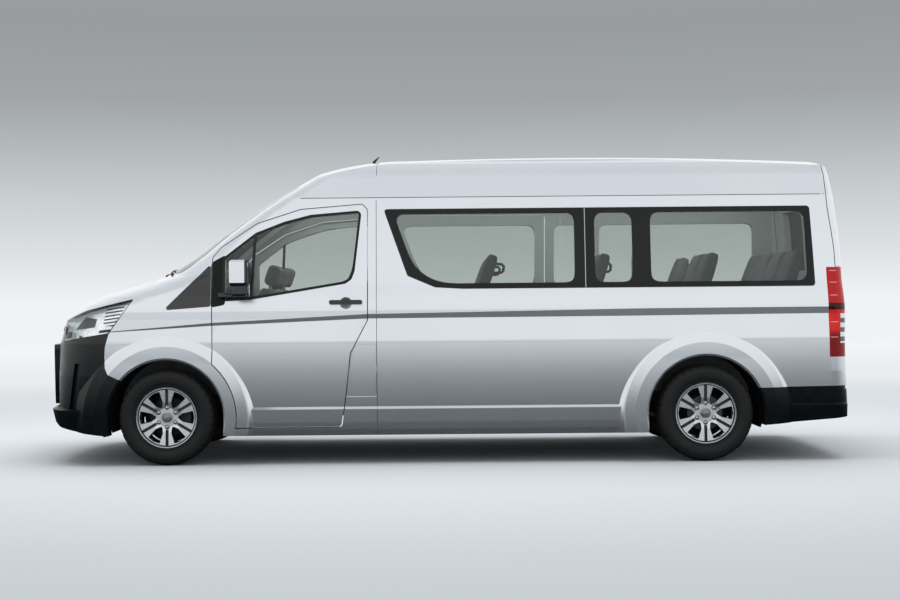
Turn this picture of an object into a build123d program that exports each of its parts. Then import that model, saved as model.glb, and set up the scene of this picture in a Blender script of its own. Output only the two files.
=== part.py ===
"""Minibus: a long high-roof passenger van with a short bonnet, built as separate panels and assemblies.

Frame, in millimetres: +X points to the rear, +Y to the vehicle's right, +Z up. The origin lies on the
ground below the middle of the vehicle's length, on its centre plane.

The body is one stack of horizontal sections, each a plan outline of tangent arcs, with a crowned roof
turned over it. The walls are what lies between that stack and the same stack set in by the wall, and every
panel, door, lamp and pane is cut from those walls along its real seam.
"""

import math
import os
from collections import namedtuple
from functools import lru_cache

from build123d import *

# ---- driving dimensions -------------------------------------------------------------------------------
LENGTH = 5914.0
HALF_BODY = 957.0  # half the width at the belt line, without the wheel-arch flares
WHEELBASE = 3860.0
FRONT_OVERHANG = 972.0
WALL = 60.0  # thickness of a side wall or a door
ROOF_WALL = 40.0
GLASS = 5.0
GLASS_REST = 0.3  # clearance between a pane and the rabbet that it lies in
SEAM = 0.3  # between two fixed panels
DOOR_GAP = 6.5  # round every panel that opens
TRACK = 1672.0
TYRE_RADIUS = 344.0
TYRE_WIDTH = 225.0
RIM_RADIUS = 218.0  # over the rim's flange
RIM_WIDTH = 190.0
KINGPIN_HALF = 760.0  # from the centre plane to the steering axis
ARCH_RADIUS = 413.0
FLARE_HALF = 975.0  # half the width over the wheel-arch flares
SILL_Z = 205.0
FLOOR_Z = 520.0
FLOOR_T = 40.0
ROOF_Z = 2252.0
ROOF_CROWN = 3625.0  # radius of the roof across the vehicle
ROOF_SWEEP = 36.0  # degrees to either side that the roof's profile is turned
TUB_RADIUS = 425.0
TUB_WALL = 8.0
TUB_INNER_HALF = 525.0  # from the centre plane to the inner wall of a wheelhouse
LINER_T, LINER_Z = 7.0, 232.0  # a wheelhouse liner's thickness and lower edge

# ---- places that follow from them ---------------------------------------------------------------------
X_NOSE = -LENGTH / 2
X_TAIL = LENGTH / 2
X_FRONT_AXLE = X_NOSE + FRONT_OVERHANG
X_REAR_AXLE = X_FRONT_AXLE + WHEELBASE
HUB_Z = TYRE_RADIUS
HALF_TRACK = TRACK / 2
SIDES = {"left": -1, "right": 1}
BIG = 4000.0  # reach of a cutting prism beyond the body

# ---- seams seen from the side, as X ---------------------------------------------------------------------
X_DOOR_FRONT = X_FRONT_AXLE + 333
X_DOOR_REAR = X_DOOR_FRONT + 1113
X_PILLAR = X_DOOR_FRONT + 1176  # seam behind the front doors, from sill to roof
X_PANE_SPLIT = X_PILLAR + 1499  # joint of the two side panes
X_PANE_END = X_TAIL - 291
X_TAILGATE = X_TAIL - 192
X_BUMPER_REAR = X_REAR_AXLE + 404
Z_PANE_LOW, Z_PANE_HIGH = 1248.0, 1828.0
Z_VIEW_LOW, Z_VIEW_HIGH = 1288.0, 1790.0
Z_GUTTER = 1912.0
Z_BUMPER_TOP = 533.0

Level = namedtuple("Level", "z setback r_front r_corner inset tail r_tail_corner")
# z: height. setback: the front behind X_NOSE. r_front, r_corner: radii of the nose and of its corners in plan.
# inset: the side inside HALF_BODY. tail: the rear ahead of X_TAIL. r_tail_corner: radius of the rear corners.
LEVELS = [
    Level(205, 102, 2600, 380, 64, 27, 140),
    Level(250, 62, 2800, 390, 42, 7, 140),
    Level(300, 27, 2900, 400, 32, 0, 140),
    Level(395, 7, 3000, 400, 21, 0, 140),
    Level(412, 25, 2000, 430, 37, 0, 140),
    Level(640, 25, 2000, 430, 16, 15, 130),
    Level(873, 36, 2000, 430, 4, 20, 130),
    Level(1045, 95, 2200, 430, 2, 20, 120),
    Level(1100, 147, 2000, 440, 0, 20, 120),
    Level(1157, 222, 1800, 450, 5, 24, 120),
    Level(1212, 337, 1600, 460, 14, 29, 120),
    Level(1290, 587, 1500, 460, 31, 36, 120),
    Level(1361, 822, 1500, 360, 38, 39, 120),
    Level(1500, 1052, 1800, 180, 54, 43, 120),
    Level(1660, 1261, 1900, 140, 76, 54, 120),
    Level(1825, 1494, 1900, 130, 100, 73, 120),
    Level(1912, 1629, 1900, 130, 114, 84, 120),
    Level(2065, 1891, 1900, 130, 160, 107, 120),
    Level(2085, 1927, 1900, 130, 182, 111, 120),
    Level(2130, 2012, 1900, 130, 212, 121, 120),
    Level(2165, 2077, 1900, 130, 257, 131, 120),
    Level(2190, 2127, 1900, 130, 327, 139, 120),
    Level(2320, 2357, 1900, 130, 397, 177, 120),
]
R_TAIL = 9000.0  # plan radius of the rear face
TIGHTEST = 30.0  # least corner radius of a set-in section


def corner_arc(x_end, r_end, r_corner, y_side, way):
    """Tangent corner between an end arc through (x_end, 0) and a side line: (on side, middle, on end arc)."""
    reach = math.sqrt((r_end - r_corner) ** 2 - (y_side - r_corner) ** 2)
    cx, cy = x_end + way * (r_end - reach), y_side - r_corner
    tilt = math.atan2(y_side - r_corner, reach)
    middle = (math.pi / 2 + tilt) / 2
    on_arc = [(cx - way * r_corner * math.cos(a), cy + r_corner * math.sin(a)) for a in (middle, tilt)]
    return (cx, y_side), on_arc[0], on_arc[1]


def section(level, z=None, inset=0.0):
    """Closed plan outline of the body at one level, set in all round."""
    z = level.z if z is None else z
    x_front, x_rear = X_NOSE + level.setback + inset, X_TAIL - level.tail - inset
    y_side = HALF_BODY - level.inset - inset
    r_corner, r_tail = (max(r - inset, TIGHTEST) for r in (level.r_corner, level.r_tail_corner))
    f_side, f_mid, f_end = corner_arc(x_front, level.r_front - inset, r_corner, y_side, 1)
    r_side, r_mid, r_end = corner_arc(x_rear, R_TAIL - inset, r_tail, y_side, -1)

    def at(point, side=1):
        return Vector(point[0], side * point[1], z)

    return Wire(
        [
            ThreePointArc(at(f_end, -1), at((x_front, 0)), at(f_end)),
            ThreePointArc(at(f_end), at(f_mid), at(f_side)),
            Line(at(f_side), at(r_side)),
            ThreePointArc(at(r_side), at(r_mid), at(r_end)),
            ThreePointArc(at(r_end), at((x_rear, 0)), at(r_end, -1)),
            ThreePointArc(at(r_end, -1), at(r_mid, -1), at(r_side, -1)),
            Line(at(r_side, -1), at(f_side, -1)),
            ThreePointArc(at(f_side, -1), at(f_mid, -1), at(f_end, -1)),
        ]
    )


def below_roof(drop=0.0):
    """Everything below the crowned roof: its profile along the centre plane, turned about a low axis."""
    x_top, x_fall, x_start = X_NOSE + 2707, X_NOSE + 2317, X_NOSE + 1457
    x_end, x_edge = X_TAIL - 217, X_TAIL - 107

    def at(x, z):
        return Vector(x, 0, z - drop)

    profile = [
        Line(at(x_start, -300), at(x_start, ROOF_Z - 372)),
        Line(at(x_start, ROOF_Z - 372), at(x_start + 540, ROOF_Z - 119)),
        ThreePointArc(at(x_start + 540, ROOF_Z - 119), at(x_fall, ROOF_Z - 43), at(x_top, ROOF_Z - 14)),
        ThreePointArc(at(x_top, ROOF_Z - 14), at(x_top + 1450, ROOF_Z), at(x_end, ROOF_Z - 44)),
        ThreePointArc(at(x_end, ROOF_Z - 44), at(x_end + 72, ROOF_Z - 72), at(x_edge, ROOF_Z - 142)),
        Line(at(x_edge, ROOF_Z - 142), at(x_edge + 400, ROOF_Z - 700)),
        Line(at(x_edge + 400, ROOF_Z - 700), at(x_edge + 400, -300)),
        Line(at(x_edge + 400, -300), at(x_start, -300)),
    ]
    axis = Axis((0, 0, ROOF_Z - ROOF_CROWN), (1, 0, 0))
    turned = Solid.revolve(Face(Wire(profile)).rotate(axis, -ROOF_SWEEP), 2 * ROOF_SWEEP, axis)
    ahead = Pos(x_start - BIG / 2, 0, 0) * Box(BIG, 4 * HALF_BODY, 2 * BIG)
    return turned + ahead


@lru_cache(maxsize=None)
def body(inset=0.0, drop=0.0, open_below=False):
    """The whole body as a solid, set in all round, with its roof dropped."""
    wires = [section(level, inset=inset) for level in LEVELS]
    if open_below:
        wires.insert(0, section(LEVELS[0], z=SILL_Z - 100, inset=inset))
    return Solid.make_loft(wires, ruled=True) & below_roof(drop)


# ---- outlines and prisms --------------------------------------------------------------------------------
def rounded(points, radius, grow=0.0):
    """A face in the XY sketch plane, with rounded corners, grown or shrunk all round."""
    line = FilletPolyline(*points, radius=radius, close=True) if radius else Polyline(*points, close=True)
    return offset(make_face(line), grow) if grow else make_face(line)


def side_prism(points, radius, side, grow=0.0, y_low=300.0):
    """Prism across the body's left (-1) or right (1) wall, or both (0), from an outline in X and Z."""
    plane = Plane(origin=(0, 0, 0), x_dir=(1, 0, 0), z_dir=(0, -1, 0))
    face = plane * rounded(points, radius, grow)
    if side == 0:
        return Pos(0, -BIG, 0) * extrude(face, 2 * BIG, dir=(0, 1, 0))
    return Pos(0, side * y_low, 0) * extrude(face, BIG, dir=(0, side, 0))


def front_prism(points, radius, x_from, x_to, grow=0.0):
    """Prism along X from an outline in Y and Z."""
    plane = Plane(origin=(x_from, 0, 0), x_dir=(0, 1, 0), z_dir=(1, 0, 0))
    return extrude(plane * rounded(points, radius, grow), x_to - x_from, dir=(1, 0, 0))


def block(x, y, z):
    """Box from three (low, high) pairs."""
    return Pos((x[0] + x[1]) / 2, (y[0] + y[1]) / 2, (z[0] + z[1]) / 2) * Box(
        x[1] - x[0], y[1] - y[0], z[1] - z[0]
    )


def across(x, z, radius, y_low, y_high):
    """Cylinder along Y."""
    return Pos(x, (y_low + y_high) / 2, z) * Rot(90, 0, 0) * Cylinder(radius, y_high - y_low)


def along(y, z, radius, x_low, x_high):
    """Cylinder along X."""
    return Pos((x_low + x_high) / 2, y, z) * Rot(0, 90, 0) * Cylinder(radius, x_high - x_low)


def revolved(profile, x, y, z):
    """Profile of (radius, distance) points, turned about the axis along Y through a place."""
    return Pos(x, y, z) * revolve(make_face(Polyline(*profile, close=True)), Axis.Y)


# ---- seams of the nose and the tail ------------------------------------------------------------------------
X_SLIDE_REAR = X_PANE_SPLIT - 175  # rear seam of the sliding door, ahead of the left wall's pane joint
HOOD_LOW_Z = 1047.0
HOOD_REAR = X_NOSE + 815
HOOD_HALF_FRONT, HOOD_HALF_REAR = 600.0, 700.0
Z_WING_TOP = 1300.0
LAMP_INNER = 500.0  # from the centre plane to the inner end of a headlamp
Z_LAMP_TOP = HOOD_LOW_Z - DOOR_GAP / 2
GRILLE_UPPER_Z = (893.0, Z_LAMP_TOP)
GRILLE_LOWER = [(-400, 414), (-430, 600), (-455, 862), (455, 862), (430, 600), (400, 414)]
GRILLE_R = 2600.0  # plan radius of the lower grille's front, which stands ahead of the bumper
GRILLE_DEPTH = 85.0
# z_low, z_high, half width, count of the spaces between slats, and the slats' thickness
GRILLE_SPACES = [(612, 786, 390, 7, 9), (905, 1037, 470, 3, 20)]
TAILGATE_HALF = 792.0
Z_TAIL_LAMP = 740.0
Z_TAIL_LAMP_TOP = 1383.0
SCREEN = [(-790, 1378), (-700, 2012), (700, 2012), (790, 1378)]  # windscreen seen from the front
TAIL_PANE = [(-700, 1340), (-650, 1900), (650, 1900), (700, 1340)]

# ---- walls' details ------------------------------------------------------------------------------------------
FLAP_T = 12.0
DOOR_LIP, DOOR_STEP = 6.0, 20.0  # thickness of a front door's outer edge; how far its inner part is stepped back
FLARE_LIP = 4.0  # the same thickness where the edge crosses the wheel-arch flare
FLAP_POCKET = FLAP_T + 6.0
FLARE_SEAM = ARCH_RADIUS + 92  # the front doors' lower front seam, round the wheel

# Hinges that bridge the gap beside each opening panel.
DOOR_HINGES_Z = (840.0, 1060.0)
HOOD_HINGES_Y, HOOD_HINGE_Z = (-350.0, 350.0), (1325.0, 1334.0)
TAILGATE_HINGES_Y, TAILGATE_HINGE_Z = (-420.0, 420.0), (2148.0, 2165.0)
FLAP_HINGE_Y = 948.0
SLIDE_ROLLERS_Z = (560.0, 900.0)
HINGE_LEAF_Y = (HALF_BODY - 57, HALF_BODY - 43)
AIR_SLOT_DEPTH = 20.0  # of the upright slots at the front bumper's corners
SHELF_DEPTH = 8.0  # of the step below the rear bumper's top edge

# Handles: a bowl in the panel with a grip across it.
HANDLE_Z = 1161.0
BOWL_R, BOWL_DEPTH = 75.0, 18.0
GRIP_LENGTH, GRIP_H, GRIP_T, GRIP_OUT = 236.0, 30.0, 14.0, 20.0
X_DOOR_HANDLE = X_DOOR_REAR - 155
X_SLIDE_HANDLE = X_PILLAR + 190
# The sliding door's middle rail, a groove in the right side behind the door.
RAIL_GROOVE_Z, RAIL_GROOVE_DEPTH = (1176.0, 1204.0), 22.0
X_GROOVE_END = X_TAIL - 330
PLATE_RECESS = [(-270, 900), (-270, 1042), (270, 1042), (270, 900)]  # on the tailgate, seen from the rear

# ---- chassis ---------------------------------------------------------------------------------------------------
X_FIREWALL = X_FRONT_AXLE - 40
Z_FIREWALL = 1300.0
RAIL_IN, RAIL_W, RAIL_H = 430.0, 60.0, 80.0  # a rail's inner side, width and height
CROSSMEMBERS = [X_NOSE + 300, X_FRONT_AXLE, X_FRONT_AXLE + 1150, X_REAR_AXLE - 1600, X_REAR_AXLE - 620, X_TAIL - 124]
CROSS_H = 60.0
RAIL_SETBACK = 100.0  # from the front bumper's inner side to the rails' front ends
TOW_EYE_R, TOW_EYE_T = 20.0, 22.0
TOW_EYE_DROP, TOW_EYE_OUT = 50.0, 50.0  # below the rail, and inboard of it
JACK_PADS_X, JACK_PAD_T = (-1300.0, 1060.0), 10.0
BALL_JOINT = 115.0  # above and below the hub
ARM_EYE_R, KINGPIN_R, PIN_CLEAR = 32.0, 14.0, 0.3
SPINDLE_R = 25.0
Y_HUB_FACE = 880.0
DISC_R = 140.0
Y_DISC_IN, Y_DISC_OUT = 802.0, 822.0
Y_DRUM_IN = 780.0
AXLE_R = 38.0
X_GEARBOX_END = -1250.0
LEAF_HALVES = [640.0, 480.0, 330.0]
LEAF_T, LEAF_RADIUS = 9.0, 2600.0
EXHAUST_Y, EXHAUST_R = 387.0, 27.0
RIM_SEAT, RIM_WELL = 206.0, 184.0
SPOKES = 6
SPOKE_WINDOW = [(-7, 80), (-30, 112), (-47, 188), (0, 197), (47, 188), (30, 112), (7, 80)]
GROOVE_W, GROOVE_R = 22.0, (88.0, 204.0)  # the groove along each spoke: width, inner and outer end
NUT_CIRCLE, NUT_POCKET_R = 69.85, 17.0

# ---- seats and steering wheel ----------------------------------------------------------------------------------
STEER_R, STEER_TILT = 185.0, 32.0
X_STEER, Y_STEER, Z_STEER = -1640.0, -420.0, 1130.0
SEAT_RECLINE, SEAT_T, SEAT_Z = 19.0, 120.0, 930.0
FRONT_SEAT = (-1195.0, 1445.0, 880.0)  # x_top, z_top, z_cushion
FRONT_SEATS_Y = [(-670.0, -170.0), (170.0, 670.0)]
FRONT_LEGS_Y = (-480.0, -230.0, 230.0, 480.0)
# x_top, z_top, y_low, y_high, trestles' y
BENCHES = [
    (-390, 1500, -825, 10, (-640, -200)),
    (420, 1500, -825, 10, (-640, -200)),
    (420, 1500, 430, 825, (645,)),
    (1240, 1500, -825, 10, (-640, -200)),
    (1240, 1500, 430, 825, (645,)),
    (2030, 1500, -825, 10, (-440, -200)),
    (2030, 1500, 430, 825, (470,)),
    (2650, 1514, -820, 820, (-440, 0, 440)),
]

# Corner radius and corners (X, Z) of each seam and window, seen from the side.
OUTLINES = {
    "door": (
        28,
        [
            (X_DOOR_FRONT, SILL_Z + 61),
            (X_DOOR_FRONT, 1488),
            (X_DOOR_FRONT + 59, 1561),
            (X_DOOR_FRONT + 320, 1731),
            (X_DOOR_FRONT + 631, 1831),
            (X_DOOR_REAR - 38, 1866),
            (X_DOOR_REAR, 1828),
            (X_DOOR_REAR, 1032),
            (X_DOOR_REAR - 126, 794),
            (X_DOOR_REAR - 173, 400),
            (X_DOOR_REAR - 195, SILL_Z + 61),
        ],
    ),
    "door_view": (
        16,
        [
            (X_DOOR_FRONT + 92, 1190),
            (X_DOOR_FRONT + 92, 1474),
            (X_DOOR_FRONT + 319, 1648),
            (X_DOOR_FRONT + 521, 1726),
            (X_DOOR_FRONT + 708, 1774),
            (X_DOOR_FRONT + 1052, 1802),
            (X_DOOR_FRONT + 1004, 1389),
            (X_DOOR_FRONT + 984, 1335),
            (X_DOOR_FRONT + 948, 1309),
            (X_DOOR_FRONT + 292, 1203),
        ],
    ),
    "flap": (
        10,
        [
            (X_PILLAR - DOOR_GAP / 2, 858),
            (X_DOOR_REAR - 82, 858),
            (X_DOOR_REAR - 116, 794),
            (X_DOOR_REAR - 160, 484),
            (X_PILLAR - DOOR_GAP / 2, 484),
        ],
    ),
    "quarter_trim": (
        14,
        [
            (X_DOOR_FRONT - 347, 1112),
            (X_DOOR_FRONT - 9, 1447),
            (X_DOOR_FRONT - 9, 1136),
        ],
    ),
    "pane_front": (
        25,
        [
            (X_PILLAR + 52, Z_PANE_HIGH),
            (X_PILLAR + 222, 1345),
            (X_PILLAR + 420, Z_PANE_LOW + 12),
            (X_PILLAR + 620, Z_PANE_LOW),
            (X_PANE_SPLIT - 2, Z_PANE_LOW),
            (X_PANE_SPLIT - 2, Z_PANE_HIGH),
        ],
    ),
    "pane_rear": (
        25,
        [
            (X_PANE_SPLIT + 2, Z_PANE_LOW),
            (X_PANE_END, Z_PANE_LOW),
            (X_PANE_END - 22, Z_PANE_HIGH),
            (X_PANE_SPLIT + 2, Z_PANE_HIGH),
        ],
    ),
    "view_front": (
        50,
        [
            (X_PILLAR + 126, Z_VIEW_HIGH),
            (X_PILLAR + 268, 1400),
            (X_PILLAR + 440, Z_VIEW_LOW),
            (X_PANE_SPLIT - 76, Z_VIEW_LOW),
            (X_PANE_SPLIT - 76, Z_VIEW_HIGH),
        ],
    ),
    "view_middle": (
        60,
        [
            (X_PANE_SPLIT + 69, Z_VIEW_LOW),
            (X_PANE_SPLIT + 338, Z_VIEW_LOW),
            (X_PANE_SPLIT + 338, Z_VIEW_HIGH),
            (X_PANE_SPLIT + 69, Z_VIEW_HIGH),
        ],
    ),
    "view_rear": (
        60,
        [
            (X_PANE_SPLIT + 471, Z_VIEW_LOW),
            (X_PANE_END - 55, Z_VIEW_LOW),
            (X_PANE_END - 66, Z_VIEW_HIGH),
            (X_PANE_SPLIT + 471, Z_VIEW_HIGH),
        ],
    ),
    "sliding_door": (
        30,
        [
            (X_PILLAR + DOOR_GAP / 2, SILL_Z + 61),
            (X_SLIDE_REAR, SILL_Z + 61),
            (X_SLIDE_REAR, Z_GUTTER - 32),
            (X_PILLAR + DOOR_GAP / 2, Z_GUTTER - 32),
        ],
    ),
    "slide_pane": (
        25,
        [
            (X_PILLAR + 52, Z_PANE_HIGH),
            (X_PILLAR + 222, 1345),
            (X_PILLAR + 420, Z_PANE_LOW + 12),
            (X_PILLAR + 620, Z_PANE_LOW),
            (X_SLIDE_REAR - 12, Z_PANE_LOW),
            (X_SLIDE_REAR - 12, Z_PANE_HIGH),
        ],
    ),
    "slide_view": (
        50,
        [
            (X_PILLAR + 126, Z_VIEW_HIGH),
            (X_PILLAR + 268, 1400),
            (X_PILLAR + 440, Z_VIEW_LOW),
            (X_SLIDE_REAR - 84, Z_VIEW_LOW),
            (X_SLIDE_REAR - 84, Z_VIEW_HIGH),
        ],
    ),
    "right_pane": (
        25,
        [
            (X_SLIDE_REAR + 12, Z_PANE_LOW),
            (X_PANE_END, Z_PANE_LOW),
            (X_PANE_END - 22, Z_PANE_HIGH),
            (X_SLIDE_REAR + 12, Z_PANE_HIGH),
        ],
    ),
    "right_view_middle": (
        60,
        [
            (X_SLIDE_REAR + 80, Z_VIEW_LOW),
            (X_SLIDE_REAR + 340, Z_VIEW_LOW),
            (X_SLIDE_REAR + 340, Z_VIEW_HIGH),
            (X_SLIDE_REAR + 80, Z_VIEW_HIGH),
        ],
    ),
    "right_view_rear": (
        60,
        [
            (X_SLIDE_REAR + 460, Z_VIEW_LOW),
            (X_PANE_END - 55, Z_VIEW_LOW),
            (X_PANE_END - 66, Z_VIEW_HIGH),
            (X_SLIDE_REAR + 460, Z_VIEW_HIGH),
        ],
    ),
    # Seams of the nose, seen from the side.
    "lamp": (
        6,
        [
            (X_NOSE - 200, 877),
            (X_NOSE + 131, 880),
            (X_NOSE + 568, 947),
            (X_NOSE + 748, 1197),
            (X_NOSE + 385, 1116),
            (X_NOSE + 190, Z_LAMP_TOP),
            (X_NOSE - 200, Z_LAMP_TOP),
        ],
    ),
    "bumper": (
        6,
        [
            (X_NOSE - 200, 0),
            (X_NOSE + 690, 0),
            (X_NOSE + 690, 600),
            (X_NOSE + 629, 625),
            (X_NOSE + 562, 657),
            (X_NOSE + 540, 705),
            (X_NOSE + 535, 782),
            (X_NOSE + 541, 857),
            (X_NOSE + 572, 960),
            (X_NOSE + 300, 1000),
            (X_NOSE - 200, 1000),
        ],
    ),
    "air_slot": (
        10,
        [
            (X_NOSE + 303, 735),
            (X_NOSE + 349, 735),
            (X_NOSE + 346, 424),
            (X_NOSE + 400, 402),
            (X_NOSE + 228, 402),
            (X_NOSE + 249, 424),
        ],
    ),
    "bumper_shelf": (
        0,
        [
            (X_BUMPER_REAR + 60, Z_BUMPER_TOP + 50),
            (X_BUMPER_REAR + 60, Z_BUMPER_TOP - 57),
            (X_BUMPER_REAR + 110, Z_BUMPER_TOP - 52),
            (X_TAIL + 100, Z_BUMPER_TOP - 22),
            (X_TAIL + 100, Z_BUMPER_TOP + 50),
        ],
    ),
    "rear_bumper": (
        4,
        [
            (X_BUMPER_REAR - 60, 0),
            (X_BUMPER_REAR - 60, Z_BUMPER_TOP - 8),
            (X_TAIL - 120, Z_BUMPER_TOP),
            (X_TAIL + 200, Z_BUMPER_TOP),
            (X_TAIL + 200, 0),
        ],
    ),
    "tail_lamp": (
        8,
        [
            (X_TAIL - 211, Z_TAIL_LAMP_TOP),
            (X_TAIL - 196, Z_TAIL_LAMP),
            (X_TAIL + 200, Z_TAIL_LAMP),
            (X_TAIL + 200, Z_TAIL_LAMP_TOP),
        ],
    ),
    "tailgate_high": (
        4,
        [
            (X_TAILGATE, ROOF_Z + 200),
            (X_TAILGATE, 2151),
            (X_TAILGATE + 8, 1830),
            (X_TAILGATE + 45, 1525),
            (X_TAILGATE + 50, Z_TAIL_LAMP_TOP + DOOR_GAP / 2),
            (X_TAIL + 300, Z_TAIL_LAMP_TOP + DOOR_GAP / 2),
            (X_TAIL + 300, ROOF_Z + 200),
        ],
    ),
}

LEFT_PANES = {"pane_front": ["view_front"], "pane_rear": ["view_middle", "view_rear"]}
RIGHT_VIEWS = ["right_view_middle", "right_view_rear"]


def hood_prism(grow=0.0):
    points = [
        (X_NOSE - 100, -HOOD_HALF_FRONT),
        (HOOD_REAR, -HOOD_HALF_REAR),
        (HOOD_REAR, HOOD_HALF_REAR),
        (X_NOSE - 100, HOOD_HALF_FRONT),
    ]
    face = Plane(origin=(0, 0, HOOD_LOW_Z - grow)) * rounded(points, 60, grow)
    return extrude(face, 500, dir=(0, 0, 1))


def tailgate_prism(grow=0.0):
    """Upper part out to the corner seams, and a lower part between the tail lamps."""
    radius, points = OUTLINES["tailgate_high"]
    low = block(
        (X_TAILGATE - 100, X_TAIL + 300),
        (-TAILGATE_HALF - grow, TAILGATE_HALF + grow),
        (Z_BUMPER_TOP + DOOR_GAP / 2 - grow, Z_TAIL_LAMP_TOP + 100),
    )
    return side_prism(points, radius, 0, grow) + low


def screen_prism(grow=0.0):
    """The windscreen, seen from the front."""
    return front_prism(SCREEN, 60, X_NOSE, X_DOOR_FRONT + 1000, grow)


def tail_pane_prism(grow=0.0):
    """The tailgate's pane, seen from the rear."""
    return front_prism(TAIL_PANE, 50, X_TAIL - 250, X_TAIL + 100, grow)


# ---- the walls ------------------------------------------------------------------------------------------
Crease = namedtuple("Crease", "x z_top z_step depth")
# The undercut below the belt line. x: place. z_top: where it starts. z_step, depth: its innermost line.
CREASE = [
    Crease(X_NOSE + 557, 970, 957, 6),
    Crease(X_DOOR_FRONT, 1030, 999, 10),
    Crease(X_DOOR_REAR, 1080, 1042, 12),
    Crease(X_TAIL - 1550, 1102, 1046, 13),
    Crease(X_TAIL - 150, 1104, 1053, 13),
]
Z_WIDEST = 868.0  # lower edge of the undercut, where the body is widest


def creases():
    """Wedges that cut the undercut into both sides; they run out at the body's widest line."""
    wedges = []
    for side in SIDES.values():
        wires = []
        for place in CREASE:
            profile = [
                (HALF_BODY + 60, place.z_top),
                (HALF_BODY + 1, place.z_top),
                (HALF_BODY - place.depth, place.z_step),
                (HALF_BODY - 3, Z_WIDEST),
                (HALF_BODY + 60, Z_WIDEST),
            ]
            wires.append(Wire(Polyline(*[(place.x, side * y, z) for y, z in profile], close=True).edges()))
        wedges.append(Solid.make_loft(wires, ruled=True))
    return wedges


def flares(inset=0.0):
    """Raised rings round the wheel arches, each a shallow cone out to the body's full width."""
    y = FLARE_HALF - inset
    profile = [
        (0, y - 75),
        (ARCH_RADIUS + 250, y - 95),
        (ARCH_RADIUS + 180, y - 25),
        (ARCH_RADIUS + 97, y),
        (ARCH_RADIUS + 15, y),
        (ARCH_RADIUS, y - 14),
        (0, y - 14),
    ]
    rings = []
    for x in (X_FRONT_AXLE, X_REAR_AXLE):
        ring = revolved(profile, x, 0, HUB_Z) & block((x - 700, x + 700), (0, 1100), (SILL_Z + 8, 1200))
        rings += [ring, mirror(ring, Plane.XZ)]
    return rings


def wheel_openings():
    cuts = []
    for x in (X_FRONT_AXLE, X_REAR_AXLE):
        for side in SIDES.values():
            y = sorted((side * 800, side * 1100))
            cuts.append(across(x, HUB_Z, ARCH_RADIUS, *y))
            cuts.append(block((x - ARCH_RADIUS, x + ARCH_RADIUS), y, (0, HUB_Z)))
    return cuts


def underside_cuts():
    """Wedges that lift the bumpers' lower edges towards the nose and the tail."""
    nose = [(X_NOSE - 100, 0), (X_NOSE - 100, 300), (X_NOSE + 300, 244), (X_NOSE + 700, 200), (X_NOSE + 700, 0)]
    tail = [(X_REAR_AXLE + 380, 0), (X_REAR_AXLE + 380, 256), (X_TAIL + 100, 318), (X_TAIL + 100, 0)]
    return [side_prism(points, 0, 0) for points in (nose, tail)]


def walls():
    shell = body()
    for wedge in creases():
        shell -= wedge
    for ring in flares():
        shell += ring
    shell -= body(inset=WALL, drop=ROOF_WALL, open_below=True)
    for cut in wheel_openings() + underside_cuts():
        shell -= cut
    return shell


def layer(depth, zone):
    """The outer few millimetres of the body within a zone."""
    return (body() & zone) - (body(inset=depth, drop=depth, open_below=True) & zone)


def glaze(panel, glass, rabbet, pane, view):
    """Cut a pane's rabbet and its view out of a panel; pane and view are functions of how far they grow."""
    return panel - (rabbet & pane(0)) - view(0), glass & pane(-GLASS_REST)


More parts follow.
